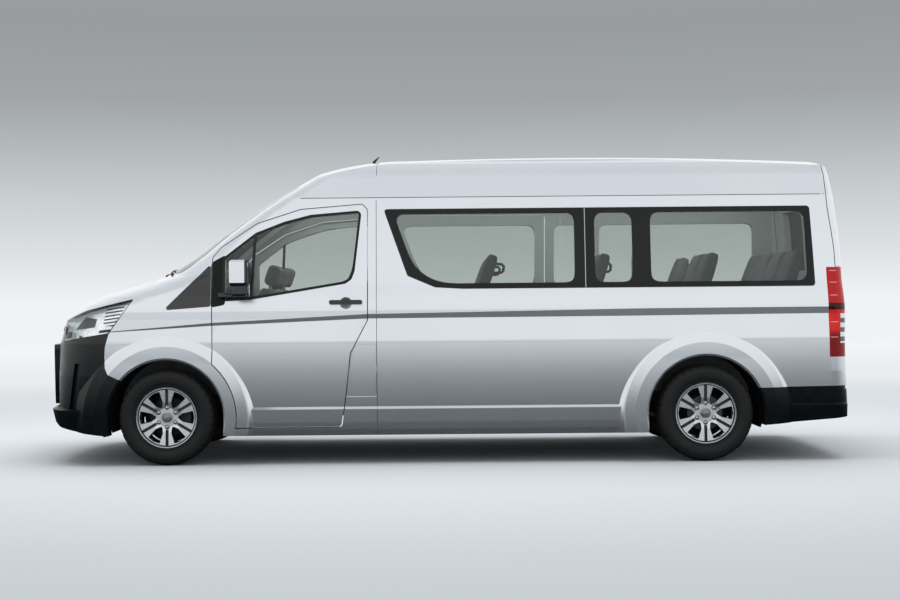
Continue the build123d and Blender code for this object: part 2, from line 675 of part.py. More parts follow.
def body_panels():
    """Every outer panel and pane: {node: solid or list of solids}."""
    made = {}
    gap = DOOR_GAP / 2
    whole = (-1200, 1200)

    def opening_panel(wall, zone):
        return wall & zone(-gap), wall - zone(gap)

    def fixed_panel(wall, zone):
        return wall & zone(-SEAM), wall - zone(0)

    def at_side(name, side):
        return lambda grow: side_prism(OUTLINES[name][1], OUTLINES[name][0], side, grow)

    wall = walls()
    rear_zone = block((X_PILLAR, X_TAIL + 100), whole, (0, ROOF_Z + 100))
    rear, cab = wall & rear_zone, wall - rear_zone
    made["hood"], cab = opening_panel(cab, hood_prism)
    made["quarter_trims"], cab = fixed_panel(cab, at_side("quarter_trim", 0))

    # The nose: wings, bumper, lamps and grille.
    wing_zone = block((X_NOSE - 100, X_DOOR_FRONT - DOOR_GAP / 2), whole, (0, Z_WING_TOP))
    wing_zone += across(X_FRONT_AXLE, HUB_Z, FLARE_SEAM - gap, *whole) & block(
        (X_NOSE, X_DOOR_FRONT + 300), whole, (0, Z_WING_TOP)
    )
    nose, cab = cab & wing_zone, cab - wing_zone

    def lamp_zone(grow):
        middle = block((X_NOSE - 300, X_NOSE + 900), (grow - LAMP_INNER, LAMP_INNER - grow), (600, 1400))
        return at_side("lamp", 0)(grow) - middle

    made["headlamps"], nose = fixed_panel(nose, lamp_zone)
    grille, nose = fixed_panel(nose, grille_upper_zone)
    nose -= front_prism(GRILLE_LOWER, 30, X_NOSE - 100, X_NOSE + 400)
    made["grille"] = slatted(grille + grille_lower(-SEAM))
    made["front_bumper"], nose = fixed_panel(nose, at_side("bumper", 0))
    corner_zone = block((X_NOSE, X_NOSE + 500), whole, (300, 800))
    made["front_bumper"] -= layer(AIR_SLOT_DEPTH, corner_zone) & at_side("air_slot", 0)(0)
    for side in SIDES.values():
        y = sorted(side * edge for edge in HINGE_LEAF_Y)
        for z in DOOR_HINGES_Z:
            nose += block((X_DOOR_FRONT - gap - 6, X_DOOR_FRONT + gap + DOOR_STEP - SEAM), y, (z - 40, z + 40))
    made["wings"] = nose

    # The cab: doors, fuel flap, quarter trims and windscreen.
    cab_zone = block((X_NOSE, X_PILLAR), whole, (1000, ROOF_Z))
    glass, rabbet = layer(GLASS, cab_zone), layer(GLASS + GLASS_REST, cab_zone)
    deep = sum_up([body(inset=DOOR_LIP, drop=DOOR_LIP, open_below=True)] + flares(FLARE_LIP))
    for name, side in SIDES.items():
        y = sorted((side * 700, side * 1100))
        arch, arch_deep, arch_out = (
            across(X_FRONT_AXLE, HUB_Z, FLARE_SEAM + g, *y) for g in (gap, gap + DOOR_STEP, -gap)
        )
        zone = at_side("door", side)
        door = cab & (zone(-gap) - arch)
        door -= (deep & zone(0)) - (zone(-gap - DOOR_STEP) - arch_deep)
        cab -= zone(gap) - arch_out
        pane = lambda grow, side=side: at_side("door_view", side)(18 + grow)
        door, made["door_glass_" + name] = glaze(door, glass, rabbet, pane, at_side("door_view", side))
        made["door_" + name] = door - bowl(X_DOOR_HANDLE, side)
    flap_zone = block((X_PILLAR - 300, X_PILLAR), (-1200, 0), (400, 900))
    made["fuel_flap"] = layer(FLAP_T, flap_zone) & at_side("flap", -1)(-gap)
    cab -= layer(FLAP_POCKET, flap_zone) & at_side("flap", -1)(gap)
    cab, made["windscreen"] = glaze(cab, glass, rabbet, screen_prism, lambda grow: screen_prism(grow - 45))
    for y in HOOD_HINGES_Y:
        cab += block((HOOD_REAR - gap + SEAM, HOOD_REAR + gap + 8), (y - 30, y + 30), HOOD_HINGE_Z)
    made["cab_shell"] = cab

    # The tail: gate, lamps and bumper.
    made["tailgate"], rear = opening_panel(rear, tailgate_prism)
    made["rear_bumper"], rear = fixed_panel(rear, at_side("rear_bumper", 0))
    shelf_zone = block((X_BUMPER_REAR, X_TAIL + 10), whole, (400, 700))
    made["rear_bumper"] -= layer(SHELF_DEPTH, shelf_zone) & at_side("bumper_shelf", 0)(0)

    def tail_lamp_zone(grow):
        middle = block((X_TAIL - 400, X_TAIL + 300), (-TAILGATE_HALF - gap + grow, TAILGATE_HALF + gap - grow), (600, 1500))
        return at_side("tail_lamp", 0)(grow) - middle

    made["tail_lamps"], rear = fixed_panel(rear, tail_lamp_zone)
    made["tailgate"] -= front_prism(PLATE_RECESS, 25, X_TAIL - 42, X_TAIL + 100)
    tail_zone = block((X_TAIL - 300, X_TAIL), whole, (1200, 2000))
    glass, rabbet = layer(GLASS, tail_zone), layer(GLASS + GLASS_REST, tail_zone)
    made["tailgate"], made["tailgate_glass"] = glaze(
        made["tailgate"], glass, rabbet, tail_pane_prism, lambda grow: tail_pane_prism(grow - 40)
    )

    # The sides and the roof behind the cab.
    roof_zone = block((X_PILLAR, X_TAIL + 100), whole, (Z_GUTTER, ROOF_Z + 100))
    roof, rear = rear & roof_zone, rear - roof_zone
    for y in TAILGATE_HINGES_Y:
        roof += block((X_TAILGATE - gap - 8, X_TAILGATE + gap - SEAM), (y - 40, y + 40), TAILGATE_HINGE_Z)
    made["roof_panel"] = roof
    side_zone = block((X_PILLAR, X_TAIL), whole, (1200, 1900))
    glass, rabbet = layer(GLASS, side_zone), layer(GLASS + GLASS_REST, side_zone)
    half = {s: block((X_PILLAR, X_TAIL + 100), sorted((0, v * 1200)), (0, Z_GUTTER)) for s, v in SIDES.items()}
    left, right = rear & half["left"], rear & half["right"]
    made["side_glass"] = []
    for name, views in LEFT_PANES.items():
        view = lambda grow, views=views: sum_up([at_side(v, -1)(grow) for v in views])
        left, pane = glaze(left, glass, rabbet, at_side(name, -1), view)
        made["side_glass"].append(pane)
    slide, right = opening_panel(right, at_side("sliding_door", 1))
    slide = slide - bowl(X_SLIDE_HANDLE, 1) + grip(X_SLIDE_HANDLE, 1)
    slide, pane = glaze(slide, glass, rabbet, at_side("slide_pane", 1), at_side("slide_view", 1))
    made["side_glass"].append(pane)
    view = lambda grow: sum_up([at_side(v, 1)(grow) for v in RIGHT_VIEWS])
    right, pane = glaze(right, glass, rabbet, at_side("right_pane", 1), view)
    made["side_glass"].append(pane)
    left += block((X_PILLAR - DOOR_GAP + SEAM, X_PILLAR + 6), (8 - FLAP_HINGE_Y, 16 - FLAP_HINGE_Y), (660, 700))
    for z in SLIDE_ROLLERS_Z:
        right += block((X_SLIDE_REAR - gap + SEAM, X_SLIDE_REAR + gap + 8), (HALF_BODY - 50, HALF_BODY - 30), (z, z + 50))
    groove_y = (HALF_BODY - RAIL_GROOVE_DEPTH, HALF_BODY + 50)
    groove = block((X_SLIDE_REAR + gap + 20, X_GROOVE_END), groove_y, RAIL_GROOVE_Z)
    made["side_panel_left"], made["side_panel_right"], made["sliding_door"] = left, right - groove, slide
    return made


def grille_upper_zone(grow):
    """Between the headlamps."""
    return block((X_NOSE - 100, X_NOSE + 400), (-LAMP_INNER - grow, LAMP_INNER + grow), GRILLE_UPPER_Z)


def grille_lower(grow=0.0):
    """The frame in the bumper's middle, with a front of its own that reaches the vehicle's foremost point."""
    drum = Pos(X_NOSE + GRILLE_R, 0, Z_BUMPER_TOP) * Cylinder(GRILLE_R, 1000)
    return drum & front_prism(GRILLE_LOWER, 30, X_NOSE, X_NOSE + GRILLE_DEPTH, grow)


def slatted(grille):
    """Cut the spaces between the slats, all the way through."""
    for z_low, z_high, half, count, slat in GRILLE_SPACES:
        pitch = (z_high - z_low) / count
        for i in range(count):
            z = z_low + i * pitch
            grille -= block((X_NOSE - 100, X_NOSE + 400), (-half, half), (z, z + pitch - slat))
    return grille


def bowl(x, side):
    """The hollow behind a handle's grip."""
    return Pos(x, side * (HALF_BODY - 2 + BOWL_R - BOWL_DEPTH), HANDLE_Z) * Sphere(BOWL_R)


def grip(x, side):
    """A handle's bar on its two feet."""
    y_out = HALF_BODY + GRIP_OUT
    bar = block(
        (x - GRIP_LENGTH / 2, x + GRIP_LENGTH / 2),
        sorted((side * (y_out - GRIP_T), side * y_out)),
        (HANDLE_Z - GRIP_H / 2, HANDLE_Z + GRIP_H / 2),
    )
    bar = fillet(bar.edges().filter_by(Axis.Y), GRIP_H / 2 - 1)
    for way in (-1, 1):
        x_foot = x + way * (GRIP_LENGTH / 2 - 24)
        y = sorted((side * (HALF_BODY - 8), side * (y_out - 2)))
        bar += block((x_foot - 13, x_foot + 13), y, (HANDLE_Z - 10, HANDLE_Z + 10))
    return bar


def sum_up(shapes):
    total = shapes[0]
    for shape in shapes[1:]:
        total += shape
    return total


# ---- chassis --------------------------------------------------------------------------------------------
def door_clearance():
    """The strips beside the front doors that the floor and the dashboard keep out of."""
    y_low = HALF_BODY - WALL - 37
    return [
        block((X_DOOR_FRONT - 40, X_PILLAR - 40), sorted((s * y_low, s * 1200)), (0, 1500)) for s in SIDES.values()
    ]


def floor_pan():
    """Floor, firewall and the four wheelhouses, welded into one."""
    wheels = [(x, s) for x in (X_FRONT_AXLE, X_REAR_AXLE) for s in SIDES.values()]
    slab = block((X_FIREWALL, X_TAIL - 95), (-900, 900), (FLOOR_Z - FLOOR_T, FLOOR_Z))
    pan = slab + block((X_FIREWALL, X_FIREWALL + 30), (-900, 900), (FLOOR_Z - FLOOR_T, Z_FIREWALL))
    for x, s in wheels:
        pan += across(x, HUB_Z, TUB_RADIUS + TUB_WALL, *sorted((s * TUB_INNER_HALF, s * 900)))
    for x, s in wheels:
        y = sorted((s * (TUB_INNER_HALF + TUB_WALL), s * 900))
        pan -= across(x, HUB_Z, TUB_RADIUS, *y)
        pan -= block((x - 600, x + 600), sorted((s * (TUB_INNER_HALF - 1), s * 900)), (0, FLOOR_Z - FLOOR_T))
    pan &= body(inset=WALL + SEAM, drop=ROOF_WALL, open_below=True)
    for strip in door_clearance():
        pan -= strip
    return pan


def arch_liners():
    """Plastic liners that close the wheelhouses below the floor, ahead of and behind each wheel."""
    liners = []
    for x in (X_FRONT_AXLE, X_REAR_AXLE):
        y = (TUB_INNER_HALF + TUB_WALL + SEAM, HALF_BODY - WALL)
        ring = across(x, HUB_Z, TUB_RADIUS - SEAM, *y) - across(x, HUB_Z, TUB_RADIUS - LINER_T, *y)
        ring &= block((x - 600, x + 600), y, (LINER_Z, HUB_Z + TUB_RADIUS + 10))
        ring &= body(inset=WALL + SEAM, drop=ROOF_WALL, open_below=True)
        liners += [ring, mirror(ring, Plane.XZ)]
    return liners


def frame_rails():
    """Two straight rails, their crossmembers and jacking pads, and a towing lug at each end of the left rail."""
    z = (FLOOR_Z - FLOOR_T - RAIL_H, FLOOR_Z - FLOOR_T)
    x_ends = (X_NOSE + WALL + RAIL_SETBACK, X_TAIL - 80)
    frame = sum_up([block(x_ends, sorted((s * RAIL_IN, s * (RAIL_IN + RAIL_W))), z) for s in SIDES.values()])
    for x in CROSSMEMBERS:
        frame += block((x - 40, x + 40), (-RAIL_IN - 10, RAIL_IN + 10), (z[1] - CROSS_H, z[1]))
    for x in (x_ends[0] + 60, x_ends[1] - 60):
        lug = block((x - 40, x + 40), (-RAIL_IN - RAIL_W, -RAIL_IN), (z[0] - TOW_EYE_DROP, z[0]))
        y_eye = TOW_EYE_OUT - RAIL_IN
        z_plate = z[0] - TOW_EYE_DROP
        plate = block((x - 40, x + 40), (-RAIL_IN - RAIL_W, y_eye), (z_plate, z_plate + TOW_EYE_T))
        eye = Pos(x, y_eye, z_plate + TOW_EYE_T / 2)
        frame += lug + plate + eye * Cylinder(40, TOW_EYE_T) - eye * Cylinder(TOW_EYE_R, 3 * TOW_EYE_T)
    for x in JACK_PADS_X:
        for s in SIDES.values():
            y = sorted((s * (RAIL_IN + 5), s * (RAIL_IN + RAIL_W - 5)))
            frame += block((x - 50, x + 50), y, (z[0] - JACK_PAD_T, z[0]))
    return frame


def arm(z, root_half, tip_half, y_root, thickness):
    """A wishbone seen from above, with a round eye on the kingpin axis."""
    points = [
        (-root_half, y_root),
        (-tip_half, KINGPIN_HALF - 20),
        (tip_half, KINGPIN_HALF - 20),
        (root_half, y_root),
        (root_half - 45, y_root),
        (0, KINGPIN_HALF - 110),
        (45 - root_half, y_root),
    ]
    plate = Plane(origin=(X_FRONT_AXLE, 0, z)) * make_face(Polyline(*points, close=True))
    solid = extrude(plate, thickness, dir=(0, 0, 1))
    eye = Pos(X_FRONT_AXLE, KINGPIN_HALF, z + thickness / 2) * Cylinder(ARM_EYE_R, thickness + 8)
    hole = Pos(X_FRONT_AXLE, KINGPIN_HALF, z + thickness / 2) * Cylinder(KINGPIN_R + PIN_CLEAR, thickness + 20)
    return solid + eye - hole


def front_suspension():
    """Upper and lower wishbones with their brackets, on the frame rails."""
    low_z, high_z = HUB_Z - BALL_JOINT - 9, HUB_Z + BALL_JOINT - 9
    rail_out = RAIL_IN + RAIL_W
    lower = arm(low_z, 150, 30, RAIL_IN + 10, 18)
    lower += block(
        (X_FRONT_AXLE - 160, X_FRONT_AXLE + 160), (RAIL_IN + 5, rail_out - 5), (low_z, FLOOR_Z - FLOOR_T - RAIL_H)
    )
    upper = arm(high_z, 100, 28, rail_out, 18)
    sets = [lower, upper]
    return sets + [mirror(s, Plane.XZ) for s in sets]


def knuckle():
    """Steering knuckle of the right-hand wheel: kingpin, spindle, steering arm and brake caliper."""
    x, y = X_FRONT_AXLE, KINGPIN_HALF
    reach = BALL_JOINT - 9 - 4 - 0.5
    post = Pos(x, y, HUB_Z) * Cylinder(24, 2 * reach)
    pin = Pos(x, y, HUB_Z) * Cylinder(KINGPIN_R, 2 * BALL_JOINT + 30)
    spindle = across(x, HUB_Z, SPINDLE_R + 12, y, Y_DISC_IN - 8) + across(x, HUB_Z, SPINDLE_R, y, Y_HUB_FACE)
    steering_arm = block((x, x + 150), (y - 12, y + 12), (HUB_Z - 60, HUB_Z - 40))
    bracket = block((x, x + 110), (y - 4, y + 14), (HUB_Z - 35, HUB_Z + 35))
    caliper = block((x + 85, x + 160), (y - 4, Y_DISC_OUT + 22), (HUB_Z - 50, HUB_Z + 50))
    slot = across(x, HUB_Z, DISC_R + 6, Y_DISC_IN - 5, Y_DISC_OUT + 5)
    return post + pin + spindle + steering_arm + bracket + (caliper - slot)


def rear_axle():
    """Live axle with its differential and drum backing plates, the leaf springs' seats, and the propshaft."""
    x = X_REAR_AXLE
    axle = across(x, HUB_Z, AXLE_R, -Y_DRUM_IN, Y_DRUM_IN) + Pos(x, 0, HUB_Z) * Sphere(125)
    axle += across(x, HUB_Z, SPINDLE_R, -Y_HUB_FACE, Y_HUB_FACE)
    for s in SIDES.values():
        axle += across(x, HUB_Z, DISC_R - 10, *sorted((s * (Y_DRUM_IN - 8), s * Y_DRUM_IN)))
        y = sorted((s * (RAIL_IN - 5), s * (RAIL_IN + RAIL_W + 5)))
        axle += block((x - 35, x + 35), y, (HUB_Z - AXLE_R - 10, HUB_Z))
    shaft = along(0, HUB_Z, 35, X_GEARBOX_END + 2, x - 100)
    return axle + shaft


def leaf_springs():
    """Stacks of arched leaves below the axle, hung from the rails."""
    springs = []
    z_seat = HUB_Z - AXLE_R - 10 - SEAM
    for s in SIDES.values():
        y = sorted((s * RAIL_IN, s * (RAIL_IN + RAIL_W)))
        stack = None
        for i, half in enumerate(LEAF_HALVES):
            radius = LEAF_RADIUS + (i + 1) * LEAF_T
            centre = z_seat + LEAF_RADIUS
            ring = across(X_REAR_AXLE, centre, radius, *y) - across(X_REAR_AXLE, centre, radius - LEAF_T, *y)
            ring &= block((X_REAR_AXLE - half, X_REAR_AXLE + half), y, (0, HUB_Z + 200))
            stack = ring if stack is None else stack + ring
        z_end = z_seat + LEAF_RADIUS - math.sqrt(LEAF_RADIUS**2 - LEAF_HALVES[0] ** 2)
        for way in (-1, 1):
            x = X_REAR_AXLE + way * LEAF_HALVES[0]
            stack += across(x, z_end, 18, *y) + block(
                (x - 15, x + 15), y, (z_end, FLOOR_Z - FLOOR_T - RAIL_H - SEAM)
            )
        springs.append(stack)
    return springs


def engine_block():
    engine = block((X_FIREWALL - 560, X_FIREWALL - 20), (-230, 230), (330, 880))
    gearbox = block((X_FIREWALL - 20, X_GEARBOX_END), (-140, 140), (270, FLOOR_Z - FLOOR_T - CROSS_H - SEAM))
    return engine + gearbox


def radiator():
    return block((X_NOSE + 150, X_NOSE + 190), (-RAIL_IN - 10, RAIL_IN + 10), (FLOOR_Z - FLOOR_T, 860))


def exhaust():
    z_low, z_high = 330, 428
    x = X_REAR_AXLE
    points = [
        (X_FRONT_AXLE + 500, EXHAUST_Y, z_low),
        (x - 420, EXHAUST_Y, z_low),
        (x - 200, EXHAUST_Y, z_high),
        (x + 200, EXHAUST_Y, z_high),
        (x + 420, EXHAUST_Y, z_low),
        (X_TAIL - 130, EXHAUST_Y, z_low),
    ]
    path = FilletPolyline(*points, radius=100)
    pipe = sweep(Plane(origin=points[0], z_dir=(1, 0, 0)) * Circle(EXHAUST_R), path=path)
    muffler = along(EXHAUST_Y, z_low, 65, 300, 900)
    hangers = [
        block((hx - 6, hx + 6), (EXHAUST_Y - 6, EXHAUST_Y + 6), (z_low, FLOOR_Z - FLOOR_T - SEAM)) for hx in (350, 860)
    ]
    return pipe + muffler + hangers[0] + hangers[1]


def fuel_tank():
    tank = block((-350, 500), (-800, -RAIL_IN - RAIL_W - 15), (262, FLOOR_Z - FLOOR_T - SEAM))
    return fillet(tank.edges().filter_by(Axis.X), 30)


def spare_wheel():
    tyre = Pos(X_TAIL - 510, 0, 358) * (Cylinder(TYRE_RADIUS, 200) - Cylinder(215, 200))
    disc = Pos(X_TAIL - 510, 0, 340) * Cylinder(216, 20)
    hanger = Pos(X_TAIL - 510, 0, 415) * Cylinder(16, 2 * (FLOOR_Z - FLOOR_T - SEAM - 415))
    return fillet(tyre.edges().filter_by(GeomType.CIRCLE).group_by(SortBy.RADIUS)[-1], 40) + disc + hanger


# ---- wheels ---------------------------------------------------------------------------------------------
def wheel(drum):
    """Alloy wheel on its axis along +Y, outer face towards +Y, with the brake disc or drum that turns with it."""
    h = RIM_WIDTH / 2
    barrel = [
        (RIM_RADIUS, -h),
        (RIM_RADIUS, 8 - h),
        (RIM_SEAT, 13 - h),
        (RIM_SEAT, 42 - h),
        (RIM_WELL, 56 - h),
        (RIM_WELL, h - 74),
        (RIM_SEAT, h - 60),
        (RIM_SEAT, h - 13),
        (RIM_RADIUS, h - 8),
        (RIM_RADIUS, h),
        (RIM_RADIUS - 9, h),
        (RIM_SEAT - 8, h - 12),
        (RIM_SEAT - 8, h - 56),
        (RIM_WELL - 8, h - 70),
        (RIM_WELL - 8, 52 - h),
        (RIM_SEAT - 8, 38 - h),
        (RIM_SEAT - 8, 12 - h),
        (RIM_RADIUS - 9, -h),
    ]
    face = [
        (0, Y_HUB_FACE - HALF_TRACK),
        (88, Y_HUB_FACE - HALF_TRACK),
        (120, h - 42),
        (RIM_SEAT - 6, h - 34),
        (RIM_SEAT - 6, h - 10),
        (110, h - 16),
        (70, h - 26),
        (0, h - 26),
    ]
    rim = revolved(barrel, 0, 0, 0) + revolved(face, 0, 0, 0)
    flat = Plane(origin=(0, -h, 0), x_dir=(1, 0, 0), z_dir=(0, 1, 0))
    window = extrude(flat * rounded(SPOKE_WINDOW, 6), 2 * h, dir=(0, 1, 0))
    groove = block((-GROOVE_W / 2, GROOVE_W / 2), (h - 32, h + 1), GROOVE_R)
    pocket = across(0, NUT_CIRCLE, NUT_POCKET_R, h - 36, h)
    cuts = []
    for i in range(SPOKES):
        turn = Rot(0, i * 360 / SPOKES, 0)
        cuts += [turn * Rot(0, 180 / SPOKES, 0) * window, turn * groove, turn * pocket]
    rim -= cuts
    if drum:
        brake = across(0, 0, DISC_R - 14, Y_DRUM_IN + 3 - HALF_TRACK, Y_HUB_FACE - HALF_TRACK)
    else:
        brake = across(0, 0, DISC_R, Y_DISC_IN - HALF_TRACK, Y_DISC_OUT - HALF_TRACK)
        brake += across(0, 0, 70, Y_DISC_OUT - HALF_TRACK, Y_HUB_FACE - HALF_TRACK)
    bore = across(0, 0, SPINDLE_R + PIN_CLEAR, -h, Y_HUB_FACE - HALF_TRACK + PIN_CLEAR)
    return rim + brake - bore


def tyre():
    """Closed ring with rounded shoulders, hollow towards the rim, its beads on the rim's seats."""
    h, rest = TYRE_WIDTH / 2, SEAM
    seat, bead = RIM_SEAT + rest, RIM_WIDTH / 2 - 14
    outline_points = [
        Line((seat, bead), (RIM_RADIUS, bead + 1)),
        ThreePointArc((RIM_RADIUS, bead + 1), (272, h), (318, h - 8)),
        ThreePointArc((318, h - 8), (336, h - 18), (341, h - 36)),
        ThreePointArc((341, h - 36), (TYRE_RADIUS, 0), (341, 36 - h)),
        ThreePointArc((341, 36 - h), (336, 18 - h), (318, 8 - h)),
        ThreePointArc((318, 8 - h), (272, -h), (RIM_RADIUS, -bead - 1)),
        Line((RIM_RADIUS, -bead - 1), (seat, -bead)),
        Line((seat, -bead), (seat, 26 - bead)),
        Line((seat, 26 - bead), (318, 24 - h)),
        Line((318, 24 - h), (328, 0)),
        Line((328, 0), (318, h - 24)),
        Line((318, h - 24), (seat, bead - 26)),
        Line((seat, bead - 26), (seat, bead)),
    ]
    return revolve(make_face(outline_points), Axis.Y)


def on_wheel(shape, x, side):
    """Place a wheel-centred shape, made for the right side, at a wheel."""
    placed = Pos(x, HALF_TRACK, HUB_Z) * shape
    return placed if side > 0 else mirror(placed, Plane.XZ)


# ---- cab and cabin fittings -------------------------------------------------------------------------------
def dashboard():
    x = X_FIREWALL
    points = [
        (x + 30 + SEAM, 840),
        (x + 30 + SEAM, 1120),
        (x + 60, 1165),
        (x + 190, 1160),
        (x + 290, 1085),
        (x + 265, 960),
        (x + 150, 860),
    ]
    dash = side_prism(points, 12, 0) & block((x - 100, x + 400), (-845, 845), (800, 1200))
    return dash & body(inset=WALL + 15, drop=ROOF_WALL, open_below=True)


def steering_wheel(dash):
    """Rim, spokes and column, down to the dashboard."""
    rim = Torus(STEER_R, 15)
    hub = Cylinder(55, 36)
    column = Pos(0, 0, -150) * Cylinder(28, 300)
    spokes = [Rot(0, 0, a) * Pos(STEER_R / 2, 0, 0) * Box(STEER_R, 34, 14) for a in (0, 180, 270)]
    wheel_solid = rim + hub + column
    for spoke in spokes:
        wheel_solid += spoke
    return Pos(X_STEER, Y_STEER, Z_STEER) * Rot(0, 90 - STEER_TILT, 0) * Rot(0, 0, 90) * wheel_solid - dash


def seat(x_top, z_top, z_cushion, y_low, y_high, length=430):
    """A seat or bench in one piece, from its side profile; x_top, z_top: the rear edge of its top."""
    lean = (z_top - z_cushion) * math.tan(math.radians(SEAT_RECLINE))
    x_hip = x_top - lean
    points = [
        (x_hip - length, z_cushion + 15),
        (x_hip - 110, z_cushion - 5),
        (x_top - 85, z_top),
        (x_top, z_top - 5),
        (x_hip + 15, z_cushion - 40),
        (x_hip - 20, z_cushion - SEAT_T),
        (x_hip - length, z_cushion - SEAT_T),
    ]
    face = Plane(origin=(0, y_low, 0), x_dir=(1, 0, 0), z_dir=(0, -1, 0)) * rounded(points, 26)
    return extrude(face, y_high - y_low, dir=(0, 1, 0))


def seat_legs(x_top, z_top, z_cushion, ys, length=430):
    """Trestles below a seat."""
    lean = (z_top - z_cushion) * math.tan(math.radians(SEAT_RECLINE))
    x0, x1 = x_top - lean - length + 60, x_top - lean - 70
    z = z_cushion - SEAT_T - SEAM
    legs = []
    for y in ys:
        trestle = block((x0, x1), (y - 20, y + 20), (FLOOR_Z, z)) - block(
            (x0 + 40, x1 - 40), (y - 30, y + 30), (FLOOR_Z - 1, z - 40)
        )
        legs.append(trestle)
    return legs


def door_fittings(side):
    """Mirror on its arm, and the outside handle, of a front door."""
    x = X_DOOR_FRONT

    def piece(x_range, y_range, z_range, radius):
        solid = block((x + x_range[0], x + x_range[1]), sorted(side * y for y in y_range), z_range)
        return fillet(solid.edges(), radius)

    mirror_solid = piece((50, 160), (925, 990), (1196, 1236), 10)
    mirror_solid += piece((110, 215), (970, 1075), (1222, 1248), 8)
    mirror_solid += piece((168, 278), (1010, 1132), (1206, 1290), 20)
    mirror_solid += piece((152, 282), (1000, 1145), (1280, 1464), 24)
    handle = grip(X_DOOR_HANDLE, side) - body()
    return [mirror_solid - body(), handle]


def save(name, shape):
    """Write one node; loose crumbs under 50 mm3 from the cuts are dropped."""
    items = shape if isinstance(shape, (list, tuple)) else [shape]
    solids = [s for item in items for s in item.solids() if s.volume > 50]
    node = Compound(children=solids) if len(solids) > 1 else solids[0]
    node.label = name
    export_step(node, "parts/" + name + ".step")


def main():
    os.makedirs("parts", exist_ok=True)
    nodes = body_panels()
    nodes["floor_pan"] = floor_pan()
    nodes["arch_liners"] = arch_liners()
    nodes["frame_rails"] = frame_rails()
    nodes["front_suspension"] = front_suspension()
    nodes["knuckle_right"] = knuckle()
    nodes["knuckle_left"] = mirror(nodes["knuckle_right"], Plane.XZ)
    nodes["rear_axle"] = rear_axle()
    nodes["leaf_springs"] = leaf_springs()
    nodes["engine_block"] = engine_block()
    nodes["radiator"] = radiator()
    nodes["exhaust"] = exhaust()
    nodes["fuel_tank"] = fuel_tank()
    nodes["spare_wheel"] = spare_wheel()
    front_wheel, rear_wheel, one_tyre = wheel(False), wheel(True), tyre()
    for side, way in SIDES.items():
        nodes["wheel_front_" + side] = on_wheel(front_wheel, X_FRONT_AXLE, way)
        nodes["wheel_rear_" + side] = on_wheel(rear_wheel, X_REAR_AXLE, way)
        nodes["tyre_front_" + side] = on_wheel(one_tyre, X_FRONT_AXLE, way)
        nodes["tyre_rear_" + side] = on_wheel(one_tyre, X_REAR_AXLE, way)
        nodes["door_fittings_" + side] = door_fittings(way)
    nodes["dashboard"] = dashboard()
    nodes["steering_wheel"] = steering_wheel(nodes["dashboard"])
    nodes["front_seats"] = [seat(*FRONT_SEAT, *y) for y in FRONT_SEATS_Y]
    nodes["passenger_seats"] = [seat(x, z, SEAT_Z, y0, y1) for x, z, y0, y1, _ in BENCHES]
    nodes["seat_legs"] = [leg for x, z, _, _, ys in BENCHES for leg in seat_legs(x, z, SEAT_Z, ys)]
    nodes["seat_legs"] += seat_legs(*FRONT_SEAT, FRONT_LEGS_Y)
    for name, shape in nodes.items():
        save(name, shape)


if __name__ == "__main__":
    main()
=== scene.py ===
"""The minibus in a studio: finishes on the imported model, and the pieces that the solids leave out."""

import math
from functools import cached_property, reduce

import bmesh
import bpy
from mathutils import Matrix, Vector
from mathutils.bvhtree import BVHTree


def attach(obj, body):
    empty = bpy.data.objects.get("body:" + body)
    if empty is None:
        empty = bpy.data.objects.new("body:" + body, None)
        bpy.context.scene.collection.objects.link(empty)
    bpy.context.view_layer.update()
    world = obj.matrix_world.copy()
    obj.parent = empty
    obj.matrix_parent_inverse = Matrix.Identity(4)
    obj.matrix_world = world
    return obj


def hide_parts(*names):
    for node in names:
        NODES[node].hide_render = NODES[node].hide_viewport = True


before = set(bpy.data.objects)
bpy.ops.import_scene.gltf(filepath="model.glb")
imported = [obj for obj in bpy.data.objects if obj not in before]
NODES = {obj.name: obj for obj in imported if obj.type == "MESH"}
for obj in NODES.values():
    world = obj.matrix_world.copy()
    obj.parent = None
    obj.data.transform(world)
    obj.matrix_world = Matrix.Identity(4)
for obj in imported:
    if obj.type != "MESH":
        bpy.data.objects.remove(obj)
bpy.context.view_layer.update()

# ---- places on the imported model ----
X_FRONT_AXLE, X_REAR_AXLE, HUB_Z, HALF_TRACK = -1.985, 1.875, 0.344, 0.836
X_DOOR_FRONT = X_FRONT_AXLE + 0.333
X_PILLAR = X_DOOR_FRONT + 1.176
X_PANE_SPLIT = X_PILLAR + 1.499
X_NOSE, X_TAIL = -2.957, 2.957
X_PANE_END = X_TAIL - 0.291
X_SLIDE_REAR = X_PANE_SPLIT - 0.175
Z_PANE, Z_VIEW = (1.248, 1.828), (1.288, 1.790)
Z_GUTTER = 1.912
DOOR_GAP = 0.0065  # between a front door's edge and what is beside it
SIDE_REACH, END_REACH, TOP_REACH = 1.3, 3.5, 3.0  # outside the body, where rays towards it start
SIDES = {"left": -1, "right": 1}
WHEELS = {
    "wheel_fl": ("front_left", X_FRONT_AXLE, -1),
    "wheel_fr": ("front_right", X_FRONT_AXLE, 1),
    "wheel_rl": ("rear_left", X_REAR_AXLE, -1),
    "wheel_rr": ("rear_right", X_REAR_AXLE, 1),
}


def slanted(x_rear):
    """The clear part of a front side pane, whose front edge is slanted."""
    low, high = Z_VIEW
    front = [(0.126, high), (0.268, 1.400), (0.440, low)]
    return [(X_PILLAR + x, z) for x, z in front] + [(x_rear, low), (x_rear, high)]


def upright(x_front, x_rear, lean=0.0):
    """The clear part of an upright pane."""
    return [(x_front, Z_VIEW[1]), (x_front, Z_VIEW[0]), (x_rear, Z_VIEW[0]), (x_rear - lean, Z_VIEW[1])]


